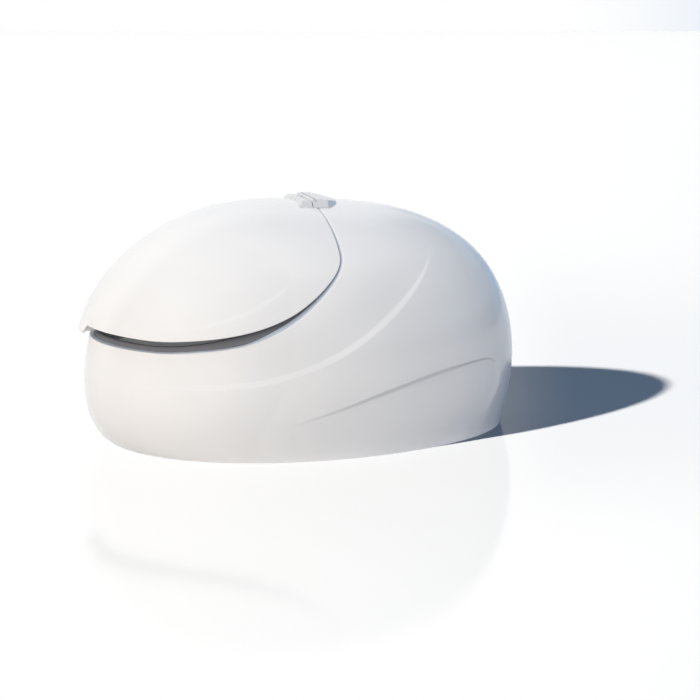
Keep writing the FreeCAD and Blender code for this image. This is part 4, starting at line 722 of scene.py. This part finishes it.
# The beak stands forward along its edge, and the nose above it swells out to meet it.
EDGE_FLARE = (0.055, -0.020)
edge_distance = lid_edge_side(lid_face)
swell = 1 - smoothstep(0.04, 0.24, np.abs(lid_face[..., 1]))
flare = 0.65 * smoothstep(*EDGE_FLARE, edge_distance) * beak_share(lid_face)
flare += 0.35 * smoothstep(0.190, 0.020, edge_distance) * swell * (lid_face[..., 0] < BEAK_AFT)
forward = np.array([-1.0, 0.0, 0.0])
lid_face = lid_face - lid_normal * lid_depth[..., None]
lid_face = lid_face + forward * (BEAK_FLARE * flare)[..., None]
edge_normal = lid_normal[-1]
edge_way = unit(laid(lid_face[-1] - lid_face[-2], edge_normal))
edge_share = beak_share(lid_face[-1])[:, None]
lid_rows = rolled_edge(lid_face[-1], -edge_normal, edge_way, LID_ROLL + BEAK_ROUNDER * edge_share,
                       LID_SKIN + BEAK_THICKER * edge_share)
lid_inner = on_form(spaced(lid_edge - 0.004, np.full(COLUMNS, POLE_SPREAD), 24), LID_SKIN)
inner_flare = smoothstep(*EDGE_FLARE, lid_edge_side(lid_inner)) * beak_share(lid_inner)
lid_inner = lid_inner + forward * ((BEAK_FLARE - BEAK_THICKER) * inner_flare)[..., None]


def lid_pole_point(inset=0.0):
    """The point of the form, or of one inside it, that the lid's rows close on."""
    return about_hinge(on_form(np.zeros(1), inset, np.zeros(1))[0], AJAR)


lid_loops = [about_hinge(row, AJAR) for row in list(lid_face) + lid_rows + list(lid_inner)]
lid_moulding = skinned("lid_moulding", lid_loops, start_pole=lid_pole_point(),
                       end_pole=lid_pole_point(LID_SKIN))
lid_gelcoat = polished_gelcoat("lid_white_gelcoat", "#E8E8E7", "#E5E5E4", 0.20)
dress(lid_moulding, lid_gelcoat, "lid_gelcoat", "lid", "lid_shell")

# ---------------------------------------------------------------- coaming and seal
# The coaming is a satin pale blue-grey moulding bonded inside the body's rim, with a sloping land
# that shows beside the lid; its blue-grey is painted cool shade, as the land lies in the lid's shadow.
# A grey rubber channel is pushed over its upstand, and the lid's flange lands on it.

# The land's inner edge stands above the fallen rim, more towards the tail.
LAND_RISE = (0.003, (0.012, -0.48, -0.28))
COAMING_SECTION = (
    (FLANGE_REACH, -0.0135, 1.0), (0.0270, -0.0135, 1.0), (0.0270, 0.0130), (0.0280, 0.0140),
    (0.0460, 0.0140), (0.0470, 0.0130), (0.0470, -0.0120), (0.0650, -0.0120), (0.0660, -0.0130),
    (0.0660, -0.0340), (0.0300, -0.0340, 1.0), (0.0170, -0.0200, 1.0), (0.0150, -0.0120, 1.0),
    (RIM_ROLL + 0.002, -0.003, 1.0),
)
SEAL_SECTION = (
    (0.0240, -0.0117, 1.0), (0.0240, 0.0180), (0.0270, 0.0220), (0.0320, 0.0233), (0.0420, 0.0233),
    (0.0470, 0.0220), (0.0500, 0.0180), (0.0500, -0.0117), (0.0473, -0.0117), (0.0473, 0.0143),
    (0.0267, 0.0143), (0.0267, -0.0117, 1.0),
)


def land_row(inset, share, drop=0.0):
    """A row on the sloping land, or as far below it as drop says."""
    spread = seek(lambda points: (lid_side(points) + profiled(points, *RIM_FALL)
                                  - share * profiled(points, *LAND_RISE)), -drop, inset)
    return on_form(spread, inset)


coaming_rows = [land_row(RIM_ROLL - 0.0005, 0.0, 0.0002), land_row(FLANGE_REACH - 0.001, 1.0),
                land_row(FLANGE_REACH, 1.0, 0.001)]
coaming = skinned("coaming", coaming_rows + section(COAMING_SECTION), closed=True)
seal = skinned("lid_seal", section(SEAL_SECTION), closed=True)


def satin_moulding(name, tint, shade, rough, grain_mm, depth):
    """Satin moulded plastic or laminate: an even colour with a fine pebbled grain that
    breaks the highlights up."""
    material, tree, place = new_material(name)
    colour = mixed(tree, noise(tree, place, 150.0, 4.0, 0.55), linear(shade), linear(tint))
    grain = noise(tree, place, grain_mm, 3.0, 0.6)
    return principled(material, {"Base Color": colour, "Normal": relief(tree, grain, 0.35, depth),
                                 "Roughness": ranged(tree, grain, rough - 0.06, rough + 0.06)}, {"IOR": 1.48})


# Painted shade: the coaming's blue-grey colours stand in for the cool shade on the land under the lid.
coaming_painted_sky_shade = satin_moulding("coaming_laminate_painted_sky_shade", "#C3CCD8", "#B7C1CE", 0.38, 2.0, 0.0001)
seal_rubber = satin_moulding("epdm_rubber", "#77787D", "#6E6F74", 0.62, 1.6, 0.0002)
dress(coaming, coaming_painted_sky_shade, "coaming_moulding", "tank", "opening_coaming")
dress(seal, seal_rubber, "seal_rubber", "tank", "rim_seal")

# ---------------------------------------------------------------- service panel
# The plant's cover at the tail is cut from the same moulding and closes its window with
# an even gap.  It tips out on two concealed pivots near its lower edge.
PANEL_GAP = 0.004
PANEL_ROUND = 0.006
LOOP_STEP = 0.012
# The panel's edge turns over in rows given by how far in they lie and how deep.
PANEL_EDGE_TURN = ((0.0021, 0.0), (0.0008, 0.0004), (0.0, 0.0016), (0.0, 0.0072), (0.001, 0.0080))


def tail_x(y, z, inset=0.0):
    """How far back the form reaches at a breadth and a level."""
    scale = shrink(inset)
    nose, tail, breadth = at_level(z / scale[2])
    across = y / scale[1] / (breadth * HALF_WIDTH)
    reach = (tail - nose) / 2 * np.sqrt(np.clip(1 - across ** 2, 0, 1))
    return scale[0] * ((nose + tail) / 2 + reach - EGG_SHIFT * breadth * across ** 2)


def outline_loop(half_y, low_z, high_z, corner, steps):
    """Points round a rectangle with rounded corners, in the tail's own plane."""
    loop = []
    for centre_y, centre_z, start in (
            (half_y - corner, high_z - corner, 0), (-half_y + corner, high_z - corner, 90),
            (-half_y + corner, low_z + corner, 180), (half_y - corner, low_z + corner, 270)):
        for step in range(steps):
            turn = math.radians(start + 90 * step / (steps - 1))
            loop.append((centre_y + corner * math.cos(turn), centre_z + corner * math.sin(turn)))
    dense = []
    for number, point in enumerate(loop):
        following = loop[(number + 1) % len(loop)]
        length = math.dist(point, following)
        pieces = max(1, int(length / LOOP_STEP))
        for part in range(pieces):
            dense.append((point[0] + (following[0] - point[0]) * part / pieces,
                          point[1] + (following[1] - point[1]) * part / pieces))
    return np.array(dense)


panel_size = np.array([WINDOW_HALF - PANEL_GAP, (WINDOW_TOP - WINDOW_BOTTOM) / 2 - PANEL_GAP])
panel_centre = np.array([0.0, (WINDOW_BOTTOM + WINDOW_TOP) / 2])
panel_loop = outline_loop(panel_size[0], WINDOW_BOTTOM + PANEL_GAP, WINDOW_TOP - PANEL_GAP, PANEL_ROUND, 4)


def panel_ring(share, inset=0.0):
    """The panel's outline drawn in to a share of its size, on the form or inside it."""
    y, z = (panel_centre + (panel_loop - panel_centre) * share).T
    return np.stack([tail_x(y, z, inset), y, z], -1)


panel_rows = [panel_ring(share) for share in np.linspace(0.06, 0.96, 14)]
panel_rows += [panel_ring(1 - inward / panel_size, inset) for inward, inset in PANEL_EDGE_TURN]
panel_rows += [panel_ring(share, SKIN) for share in np.linspace(0.96, 0.06, 10)]
service_panel = skinned("service_panel_moulding", panel_rows, start_pole=panel_ring(0.0)[0],
                        end_pole=panel_ring(0.0, SKIN)[0])
dress(service_panel, white_gelcoat, "shell_gelcoat", "service_door", "service_panel")

# ---------------------------------------------------------------- crown hinge
# A broad cast hinge straddles the parting line on the crown, enamelled white.  Its hood on the
# body and its plate on the lid cover the leaves, their bolts and the pin.  Three long knuckles
# belong to the hood and two short ones to the plate.
HINGE_HALF = 0.250
LEAF_TOP = 0.013
LEAF_FRONT = -0.036
BEVEL_EASE = 0.004
FRONT_SLOPE = 1.375
SIDE_SLOPE = 0.84
SIDE_RUN = 0.045
HOOD_TOP = 0.026
HOOD_BACK_TOP = 0.003
HOOD_FLAT = 0.045
HOOD_REACH = 0.162
HOOD_SIDE = 0.285
HOOD_END_SLOPE = 1.1
KNUCKLE_RADIUS = 0.012
KNUCKLE_GAP = 0.001
LID_KNUCKLES = (0.100, 0.140)
CLEAR_OF_LEAF = 0.0025
PAD_LIFT = 0.0003
CROWN_FOOT = 0.9
HOOD_CROWDING = 0.85
PLATE_EASE = 0.0014
HOOD_EASE = 0.0016
HINGE_SHARP = 32.0


def crown_height(x, y):
    """Height of the form above a point of the floor, near the crown."""
    low, _ = halved(np.full(x.shape, CROWN_FOOT), np.full(x.shape, CROWN), RAY_HALVINGS + 2,
                    lambda z: outside(np.stack([x, y, z], -1)) < 0)
    return low


def pad(x, y, top):
    """A closed pad on the form, given by a grid of heights; its foot lies on the form."""
    seat = crown_height(x, y) + PAD_LIFT
    upper = np.stack([x, y, np.maximum(top, seat + PAD_LIFT)], -1)
    lower = np.stack([x, y, seat], -1)
    rows, columns = x.shape
    mesh = bmesh.new()
    above, under = ([[mesh.verts.new(corner) for corner in row] for row in placed(grid).tolist()]
                    for grid in (upper, lower))
    for row in range(rows - 1):
        for column in range(columns - 1):
            for grid, order in ((above, (0, 1, 3, 2)), (under, (2, 3, 1, 0))):
                corners = (grid[row][column], grid[row + 1][column],
                           grid[row][column + 1], grid[row + 1][column + 1])
                mesh.faces.new([corners[number] for number in order])
    border = ([(row, 0) for row in range(rows)] + [(rows - 1, column) for column in range(1, columns)]
              + [(row, columns - 1) for row in reversed(range(rows - 1))]
              + [(0, column) for column in reversed(range(1, columns - 1))])
    for (row, column), (next_row, next_column) in zip(border, border[1:] + border[:1]):
        mesh.faces.new([above[row][column], under[row][column],
                        under[next_row][next_column], above[next_row][next_column]])
    bmesh.ops.recalc_face_normals(mesh, faces=mesh.faces)
    data = bpy.data.meshes.new("pad")
    mesh.to_mesh(data)
    mesh.free()
    return data


def eased_low(values, ease):
    """The lowest of several heights, with the corners between them eased."""
    stack = np.stack(np.broadcast_arrays(*values))
    return -ease * np.log(np.exp(-(stack - stack.min(0)) / ease).sum(0)) + stack.min(0)


def side_plane(y, top):
    """The sloping end of the hinge, which runs down to the form."""
    return CROWN + top + (HINGE_HALF - SIDE_RUN - np.abs(y)) * SIDE_SLOPE


leaf_rear = HINGE_X - KNUCKLE_RADIUS - KNUCKLE_GAP
hinge_y = np.linspace(-HINGE_HALF, HINGE_HALF, 81)
# The bevel's toe is stepped to where its plane meets the form.
toe = np.full(hinge_y.shape, LEAF_FRONT)
for _ in range(30):
    toe = LEAF_FRONT + (crown_height(toe, hinge_y) - CROWN - LEAF_TOP) / FRONT_SLOPE
brow = LEAF_FRONT + BEVEL_EASE
leaf_x = np.array([toe + (brow - toe) * share for share in np.linspace(0, 1, 10)]
                  + [brow + (leaf_rear - brow) * share + 0 * toe for share in np.linspace(0, 1, 9)[1:]])
front_plane = CROWN + LEAF_TOP + (leaf_x - LEAF_FRONT) * FRONT_SLOPE
leaf_heights = eased_low((CROWN + LEAF_TOP + 0 * leaf_x, front_plane, side_plane(hinge_y, LEAF_TOP)),
                         PLATE_EASE)
lid_leaf_pad = pad(leaf_x, np.broadcast_to(hinge_y, leaf_x.shape), leaf_heights)

hood_front = HINGE_X + KNUCKLE_RADIUS + KNUCKLE_GAP
hood_end = HINGE_X + HOOD_REACH * np.sqrt(1 - (hinge_y / HOOD_SIDE) ** 2)
hood_x = np.array([hood_front + (hood_end - hood_front) * share
                   for share in np.linspace(0, 1, 40) ** HOOD_CROWDING])
hood_y = np.broadcast_to(hinge_y, hood_x.shape)
back_slope = (CROWN + HOOD_TOP - (hood_x - HINGE_X - HOOD_FLAT) * (HOOD_TOP - HOOD_BACK_TOP)
              / (HOOD_REACH - HOOD_FLAT))
round_end = crown_height(hood_x, hood_y) + 0.0005 + (hood_end - hood_x) * HOOD_END_SLOPE
hood_heights = eased_low((CROWN + HOOD_TOP + 0 * hood_x, back_slope, round_end,
                          side_plane(hinge_y, HOOD_TOP)), HOOD_EASE)
hood_pad = pad(hood_x, hood_y, hood_heights)


def knuckle(low, high, soft=0.0015):
    """One knuckle, turned about the hinge's axis with its ends rounded."""
    bends = np.radians((0, 30, 60, 90))
    ends = soft - soft * np.cos(bends)
    radii = KNUCKLE_RADIUS - soft + soft * np.sin(bends)
    profile = list(zip(low + ends, radii)) + list(zip(high - ends, radii))[::-1]
    turn = np.linspace(0, 2 * math.pi, 40, endpoint=False)
    circle = np.stack([np.cos(turn), 0 * turn, np.sin(turn)], -1)
    rows = [np.array([HINGE_X, station, HINGE_Z]) + radius * circle for station, radius in profile]
    piece = skinned("knuckle", rows, start_pole=np.array([HINGE_X, low, HINGE_Z]),
                    end_pole=np.array([HINGE_X, high, HINGE_Z]))
    mesh = piece.data
    bpy.data.objects.remove(piece)
    return mesh


def foot_pad(front, rear, low, high, top):
    """A plain pad between two stations, from the form up to a level."""
    x, y = np.meshgrid(np.array([front, rear]), np.linspace(low, high, 17), indexing="ij")
    return pad(x, y, np.minimum(top, side_plane(y, HOOD_TOP) - 0.001))


def joined(name, meshes):
    """Several pieces made one, each keeping its own closed skin."""
    mesh = bpy.data.meshes.new(name)
    work = bmesh.new()
    for piece in meshes:
        work.from_mesh(piece)
    work.to_mesh(mesh)
    work.free()
    return finished(name, mesh, HINGE_SHARP)


def turned_mesh(mesh, angle):
    """A mesh of the lid turned to where the lid stands."""
    points = np.empty(len(mesh.vertices) * 3)
    mesh.vertices.foreach_get("co", points)
    points = points.reshape(-1, 3) - placed(np.zeros(3))
    mesh.vertices.foreach_set("co", placed(about_hinge(points, angle)).ravel())
    return mesh


inner, outer = LID_KNUCKLES
body_spans = ((-HINGE_HALF, -outer - KNUCKLE_GAP), (-inner + KNUCKLE_GAP, inner - KNUCKLE_GAP),
              (outer + KNUCKLE_GAP, HINGE_HALF))
lid_spans = ((-outer, -inner), (inner, outer))
knuckle_end = HINGE_HALF - SIDE_RUN + 0.004
hood_parts, plate_parts = [hood_pad], [lid_leaf_pad]
for low, high in body_spans:
    hood_parts += [knuckle(max(low, -knuckle_end), min(high, knuckle_end)),
                   foot_pad(leaf_rear + CLEAR_OF_LEAF, hood_front + 0.001, low, high, HINGE_Z)]
for low, high in lid_spans:
    plate_parts += [knuckle(low, high), foot_pad(leaf_rear - 0.001, HINGE_X, low, high, CROWN + LEAF_TOP)]
hinge_hood = joined("hinge_hood", hood_parts)
hinge_plate = joined("hinge_lid_plate", [turned_mesh(mesh, AJAR) for mesh in plate_parts])
hinge_paint = polished_gelcoat("white_enamel_on_cast_aluminium", "#D0D1D3", "#CCCDD0", 0.26)
dress(hinge_hood, hinge_paint, "hinge_metal", "tank", "hinge_body_leaf", "hinge_body_bolts", "hinge_pin")
dress(hinge_plate, hinge_paint, "hinge_metal", "lid", "hinge_lid_leaf", "hinge_lid_bolts")

# ---------------------------------------------------------------- inner liners
# Satin grey-white mouldings line the roof of the body and the inside of the lid, with the
# insulation quilts between them and the outer skins.
LINER_INSET = 0.060
LINER_SKIN = 0.006
LINER_TOP = -0.0343
FLANGE_TOP = 0.4883
LID_LINER_INSET = 0.048
SEAL_TOP = 0.0233
LINER_EDGE = SEAL_TOP + 0.0063
LID_FLANGE = ((0.0076, 0.0063), (0.0073, 0.0058), (0.0073, 0.0008), (0.0078, 0.0003))


def roof_rows(inset, rising):
    """Rows of one face of the roof liner, from its upper edge down or the other way."""
    top = on_parting(LINER_TOP, inset)
    foot = seek(lambda points: points[..., 2], FLANGE_TOP, inset, low=0.8)
    start, end = (foot, top) if rising else (top, foot)
    return list(on_form(np.concatenate((spaced(start, end, 40), end[None, :])), inset))


roof_liner = skinned("roof_liner", roof_rows(LINER_INSET, False) + roof_rows(LINER_INSET + LINER_SKIN, True),
                     closed=True)

lid_inside = LID_LINER_INSET + LINER_SKIN
lid_flange = section([(LID_LINER_INSET, LINER_EDGE)]
                     + [(inset, SEAL_TOP + rise) for inset, rise in LID_FLANGE]
                     + [(lid_inside - 0.003, SEAL_TOP + 0.0003), (lid_inside, SEAL_TOP + 0.0030)], lid=True)
near_pole = np.full(COLUMNS, POLE_SPREAD)
top_rows = on_form(spaced(near_pole, on_lid_parting(LINER_EDGE, LID_LINER_INSET), 30), LID_LINER_INSET)
inner_rows = on_form(spaced(on_lid_parting(LINER_EDGE, lid_inside), near_pole, 36), lid_inside)
lid_liner = skinned(
    "lid_liner_moulding", [about_hinge(row, AJAR) for row in list(top_rows) + lid_flange + list(inner_rows)],
    start_pole=lid_pole_point(LID_LINER_INSET), end_pole=lid_pole_point(lid_inside))
liner_finish = satin_moulding("liner_laminate", "#D9DDE1", "#CED3D8", 0.34, 3.0, 0.0001)
dress(roof_liner, liner_finish, "inner_liner", "tank", "canopy_liner")
dress(lid_liner, liner_finish, "inner_liner", "lid", "lid_liner")

# ---------------------------------------------------------------- bath
# The bath and its deck are one vacuum-formed acrylic sheet on a laminate back: an even
# glossy white that is a little colder than the gelcoat outside.
bath_acrylic = polished_gelcoat("bath_acrylic_sheet", "#DDE2E6", "#D6DCE1", 0.16)
finish_nodes(bath_acrylic, "bath")


# ---------------------------------------------------------------- metal fittings
# Bright fittings in and round the bath are chromed brass, and the feet, brackets and plant
# bodies brushed stainless steel.  The frame is welded tube, its lock nuts are zinc plated, the
# pump's motor has a cast case, and the struts' rods are hard chromed.
def bare_metal(name, tint, shade, rough, scratch_mm, depth, stretch=(1.0, 1.0, 1.0)):
    """Bare metal: fine tool marks, stretched along the way that it was worked, and small
    changes of gloss where hands and cloths have been."""
    material, tree, place = new_material(name)
    along = add(tree, "ShaderNodeMapping", {"Vector": place}, {"Scale": stretch})
    marks = noise(tree, along.outputs["Vector"], scratch_mm, 4.0, 0.65)
    handled = noise(tree, place, 35.0, 3.0)
    return principled(material, {"Base Color": mixed(tree, handled, linear(shade), linear(tint)),
                                 "Roughness": ranged(tree, handled, rough * 0.8, rough * 1.25),
                                 "Normal": relief(tree, marks, 0.3, depth)}, {"Metallic": 1.0})


ALONG_Y = (1.0, 0.12, 1.0)
finish_nodes(bare_metal("chromed_brass", "#DADCDE", "#CDD0D3", 0.08, 4.0, 0.00002),
             "lamp_bezel", "jet_rings", "jet_eyeball_right", "jet_eyeball_left", "suction_grille",
             "button_housings", "fan_grille")
finish_nodes(bare_metal("brushed_stainless", "#B9BBBD", "#A6A8AB", 0.30, 3.0, 0.00006, ALONG_Y),
             "levelling_feet", "water_heater", "ultraviolet_unit", "panel_lugs", "panel_arms",
             "strut_body_brackets", "strut_lid_brackets")
finish_nodes(bare_metal("zinc_plated_steel", "#A9ABAD", "#94969A", 0.34, 1.5, 0.00005), "foot_lock_nuts")
finish_nodes(bare_metal("cast_aluminium_motor_case", "#8E9194", "#7C8084", 0.48, 1.2, 0.00015),
             "pump_motor")
finish_nodes(bare_metal("turned_shaft_steel", "#A5A7AA", "#8F9296", 0.24, 0.8, 0.00003, (1.0, 0.1, 1.0)),
             "pump_rotor")
finish_nodes(bare_metal("welded_frame_tube", "#9DA0A3", "#8B8E92", 0.42, 2.0, 0.0001, (0.15, 1.0, 1.0)),
             "base_frame")
finish_nodes(bare_metal("hard_chromed_rod", "#D3D5D8", "#C6C9CD", 0.10, 0.6, 0.00001, (0.1, 1.0, 1.0)),
             "strut_rod_right", "strut_rod_left")

# ---------------------------------------------------------------- plastic fittings
# Injection-moulded plastics: glass-filled black for housings, grey pipe, white buttons, a red
# valve handle, and the blue-grey bodies of the filter and the pump.  The struts' tubes are
# painted black, and the plant's tray is laminate board.
for name, tint, shade, rough, grain_mm, depth, nodes in (
        ("glass_filled_nylon", "#26282B", "#1D1F21", 0.46, 1.1, 0.00012,
         ("lamp_housing", "fan_housing", "fan_rotor", "power_inlet")),
        ("grey_pressure_pipe", "#9AA0A6", "#8E949B", 0.36, 6.0, 0.00006,
         ("return_manifold", "suction_fitting", "suction_pipe", "plant_pipes")),
        ("button_cap_plastic", "#EDEEEE", "#E4E6E7", 0.30, 3.0, 0.00004, ("call_button", "light_button")),
        ("valve_handle_plastic", "#B3261F", "#9C1D18", 0.38, 2.0, 0.00008, ("drain_handle",)),
        ("pump_body_plastic", "#3C444C", "#333B43", 0.44, 1.4, 0.00012, ("pump_case", "drain_valve")),
        ("filter_body_plastic", "#5E6B77", "#54606C", 0.34, 2.2, 0.00008, ("filter_canister", "filter_cap")),
        ("control_case_plastic", "#C9CCCE", "#BFC2C5", 0.42, 1.6, 0.0001, ("control_box", "control_cover")),
        ("black_strut_paint", "#17181A", "#101112", 0.30, 1.8, 0.00003,
         ("strut_tube_right", "strut_tube_left")),
        ("compact_laminate_board", "#B4B1AB", "#A8A59F", 0.50, 1.8, 0.00008, ("plant_tray",))):
    finish_nodes(satin_moulding(name, tint, shade, rough, grain_mm, depth), *nodes)

# ---------------------------------------------------------------- speaker, lens and filter
# The speaker has a fine perforated face, the lamp a frosted lens, and the filter's paper
# stands in pleats round its core.
def perforated(name, tint, pitch_mm):
    """A moulded face with small round holes on an even pitch, drawn as near-black pits: partly the dark
    speaker behind them and partly painted shade inside each hole.
    """
    material, tree, place = new_material(name)
    cells = add(tree, "ShaderNodeTexVoronoi", {"Vector": place},
                {"Scale": scale_for(pitch_mm), "Randomness": 0.0})
    pit = ranged(tree, cells.outputs["Distance"], 0.0, 1.0, 0.22, 0.30)
    # Painted shade: the pits' near-black stands partly for the shade inside the holes.
    return principled(material, {"Base Color": mixed(tree, pit, linear("#0C0D0E"), linear(tint)),
                                 "Normal": relief(tree, pit, 0.8, 0.0006)}, {"Roughness": 0.45})


def frosted_lens(name, tint):
    """A frosted polycarbonate lens that glows evenly while the cabin light is on."""
    material, tree, place = new_material(name)
    return principled(material, {"Normal": relief(tree, noise(tree, place, 1.2, 2.0), 0.3, 0.0001)},
                      {"Base Color": linear(tint), "Roughness": 0.25, "Emission Color": linear("#FFF6EC"),
                       "Emission Strength": 240.0})


def pleated_paper(name, tint, shade):
    """Filter paper, folded into upright pleats that stand round the cartridge, each pleat painted darker
    across its fold as painted shade.
    """
    material, tree, place = new_material(name)
    folds_and_painted_shade = add(tree, "ShaderNodeTexWave", {"Vector": place},
                {"Scale": scale_for(40.0), "Distortion": 0.4, "Detail": 1.0},
                bands_direction="DIAGONAL").outputs["Fac"]
    # Painted shade: the darker colour follows the pleats' folds.
    return principled(material, {"Base Color": mixed(tree, folds_and_painted_shade, linear(shade), linear(tint)),
                                 "Normal": relief(tree, folds_and_painted_shade, 0.6, 0.002)}, {"Roughness": 0.85})


finish_nodes(perforated("perforated_speaker_face", "#8C9095", 4.0), "intercom_speaker")
finish_nodes(frosted_lens("frosted_lamp_lens", "#E9EDF0"), "lamp_lens")
finish_nodes(pleated_paper("pleated_filter_paper", "#ECEAE2", "#CFCCC2"), "filter_cartridge")


# ---------------------------------------------------------------- bearers and insulation
# Sealed beech bearers carry the bath on the frame, and quilted foam fills the space behind
# the liners.
def sealed_wood(name, tint, shade):
    """Sealed wood, its grain drawn out along the bearer."""
    material, tree, place = new_material(name)
    along = add(tree, "ShaderNodeMapping", {"Vector": place}, {"Scale": (1.0, 0.06, 1.0)})
    grain = noise(tree, along.outputs["Vector"], 6.0, 6.0, 0.6)
    return principled(material, {"Base Color": mixed(tree, grain, linear(shade), linear(tint)),
                                 "Normal": relief(tree, grain, 0.4, 0.0002)}, {"Roughness": 0.5})


finish_nodes(sealed_wood("sealed_beech", "#C9A77C", "#A98358"), "bath_bearers")
finish_nodes(satin_moulding("closed_cell_foam_quilt", "#CFCBBF", "#BDB9AC", 0.92, 5.0, 0.0008),
             "canopy_insulation", "lid_insulation")

# ---------------------------------------------------------------- floor, lights and camera
# The floor is matt with a faint sheen, and only a hard low sun lights it.  Its blue-grey colour is
# painted cool shade for its shadow, and the warm sun turns it white where it falls.  Two broad soft
# suns light all but the floor.  The air is dark, with a bright far wall that the gelcoat mirrors
# and, below the horizon, the light that a floor sends up.
FLOOR_REACH = 900
FLOOR_SUN = (-12.0, -5.2, 8.0)
SOFT_KEY = (-7.6, -6.0, 2.4)
SOFT_TOP = (0.0, -3.2, 8.0)
floor_mesh = bpy.data.meshes.new("studio_floor")
floor_corners = [(x * FLOOR_REACH, y * FLOOR_REACH, 0) for x, y in ((-1, -1), (1, -1), (1, 1), (-1, 1))]
floor_mesh.from_pydata(floor_corners, [], [(0, 1, 2, 3)])
studio_floor = in_scene("studio_floor", floor_mesh)
floor_paint, floor_tree, _ = new_material("studio_floor_painted_cool_shade")
# Painted shade: the floor's blue-grey colour gives its shadow a cool tint, and the warm floor sun lifts the
# lit floor to white.
floor_matt_painted_cool_shade = add(floor_tree, "ShaderNodeBsdfDiffuse", None, {"Color": linear("#8897A9")})
floor_sheen = add(floor_tree, "ShaderNodeBsdfGlossy", None, {"Color": linear("#FFFFFF"), "Roughness": 0.10})
close(floor_paint, add(floor_tree, "ShaderNodeMixShader",
                       {1: floor_matt_painted_cool_shade.outputs["BSDF"], 2: floor_sheen.outputs["BSDF"]}, {0: 0.15}))
floor_mesh.materials.append(floor_paint)
studio_floor.visible_diffuse = False


def sun(name, place, energy, colour, breadth):
    """A sun of some degrees' breadth that shines from a place towards the tank."""
    data = bpy.data.lights.new(name, "SUN")
    data.energy = energy
    data.color = linear(colour)[:3]
    data.angle = math.radians(breadth)
    light = in_scene(name, data)
    light.location = place
    light.rotation_euler = (Vector((0, 0, 0)) - Vector(place)).to_track_quat("-Z", "Y").to_euler()
    light.visible_glossy = False
    return light


floor_sun = sun("floor_sun", FLOOR_SUN, 23.5, "#FFE4C8", 2.0)
soft_suns = (sun("soft_key", SOFT_KEY, 2.75, "#FFF2E2", 84.0),
             sun("soft_top", SOFT_TOP, 1.85, "#F4F8FF", 110.0))
only_floor = bpy.data.collections.new("only_the_floor")
only_floor.objects.link(studio_floor)
floor_sun.light_linking.receiver_collection = only_floor
all_but_floor = bpy.data.collections.new("all_but_the_floor")
all_but_floor.objects.link(studio_floor)
all_but_floor.collection_objects[0].light_linking.link_state = "EXCLUDE"
for light in soft_suns:
    light.light_linking.receiver_collection = all_but_floor

# The colours of the air are linear ones.
DARK_AIR = (0.045, 0.083, 0.140, 1.0)
WALL_NEAR = (1.0, 1.0, 1.0, 1.0)
WALL_FAR = (0.28, 0.52, 0.78, 1.0)
DOORWAY = (0.25, 0.38, 0.55, 1.0)
LIT_FLOOR = (0.62, 0.59, 0.55, 1.0)
SHADED_FLOOR = (0.01, 0.07, 0.22, 1.0)
AWAY_FROM_KEY = (0.857, 0.515, 0.0)
HORIZON = -0.02
world = bpy.data.worlds.new("studio_air")
bpy.context.scene.world = world
world.use_nodes = True
sky = world.node_tree
sky.nodes.clear()
sky_way = add(sky, "ShaderNodeTexCoord").outputs["Generated"]
sky_parts = add(sky, "ShaderNodeSeparateXYZ", {"Vector": sky_way})


def sky_step(part, low, high, ends=(0.0, 1.0)):
    """A soft step on one part of the direction."""
    return ranged(sky, sky_parts.outputs[part], *ends, low, high, interpolation_type="SMOOTHSTEP")


def sky_math(operation, first, second):
    """Two values of the sky made one."""
    return add(sky, "ShaderNodeMath", {0: first, 1: second}, operation=operation).outputs["Value"]


# The wall reaches high towards the nose and stays low towards the tail, with a dim doorway.
FALLING = (1.0, 0.0)
high_wall = sky_math("MULTIPLY", sky_step("Z", 0.60, 0.95, FALLING), sky_step("X", 0.34, 0.55, FALLING))
wall_top = sky_math("MAXIMUM", high_wall, sky_step("Z", 0.34, 0.44, FALLING))
wall = sky_math("MULTIPLY", sky_step("Y", 0.30, 0.55), wall_top)
door_height = sky_math("MULTIPLY", sky_step("Z", 0.13, 0.18), sky_step("Z", 0.23, 0.29, FALLING))
doorway = sky_math("MULTIPLY", sky_step("X", 0.29, 0.35), door_height)
air = mixed(sky, wall, DARK_AIR, mixed(sky, sky_step("X", 0.34, 0.60), WALL_NEAR, WALL_FAR))
away_from_key = add(sky, "ShaderNodeVectorMath", {0: sky_way}, {1: AWAY_FROM_KEY}, operation="DOT_PRODUCT")
bounce = mixed(sky, ranged(sky, away_from_key.outputs["Value"], 0.0, 1.0, -1.0, 1.0), LIT_FLOOR, SHADED_FLOOR)
under = add(sky, "ShaderNodeMath", {0: sky_parts.outputs["Z"]}, {1: HORIZON}, operation="LESS_THAN")
seen_air = mixed(sky, under.outputs["Value"], mixed(sky, doorway, air, DOORWAY), bounce)
sky_light = add(sky, "ShaderNodeBackground", {"Color": seen_air}, {"Strength": 1.0})
add(sky, "ShaderNodeOutputWorld", {"Surface": sky_light.outputs["Background"]})

SENSOR = 36.0
CAMERA_PLACE = (-2.0095, -9.6458, 2.3506)
CAMERA_TURN = math.radians(13.375)
CAMERA_DIP = math.radians(10.991)
FOCAL_SHARE = 1748.27 / 700.0
camera_data = bpy.data.cameras.new("view")
camera_data.sensor_width = SENSOR
camera_data.lens = SENSOR * FOCAL_SHARE
camera_data.clip_end = 200.0
camera = in_scene("view", camera_data)
camera.location = placed(np.array(CAMERA_PLACE)).tolist()
camera_way = Vector((math.sin(CAMERA_TURN) * math.cos(CAMERA_DIP),
                     math.cos(CAMERA_TURN) * math.cos(CAMERA_DIP), -math.sin(CAMERA_DIP)))
camera.rotation_euler = camera_way.to_track_quat("-Z", "Y").to_euler()
bpy.context.scene.camera = camera
bpy.context.scene.view_settings.view_transform = "Standard"
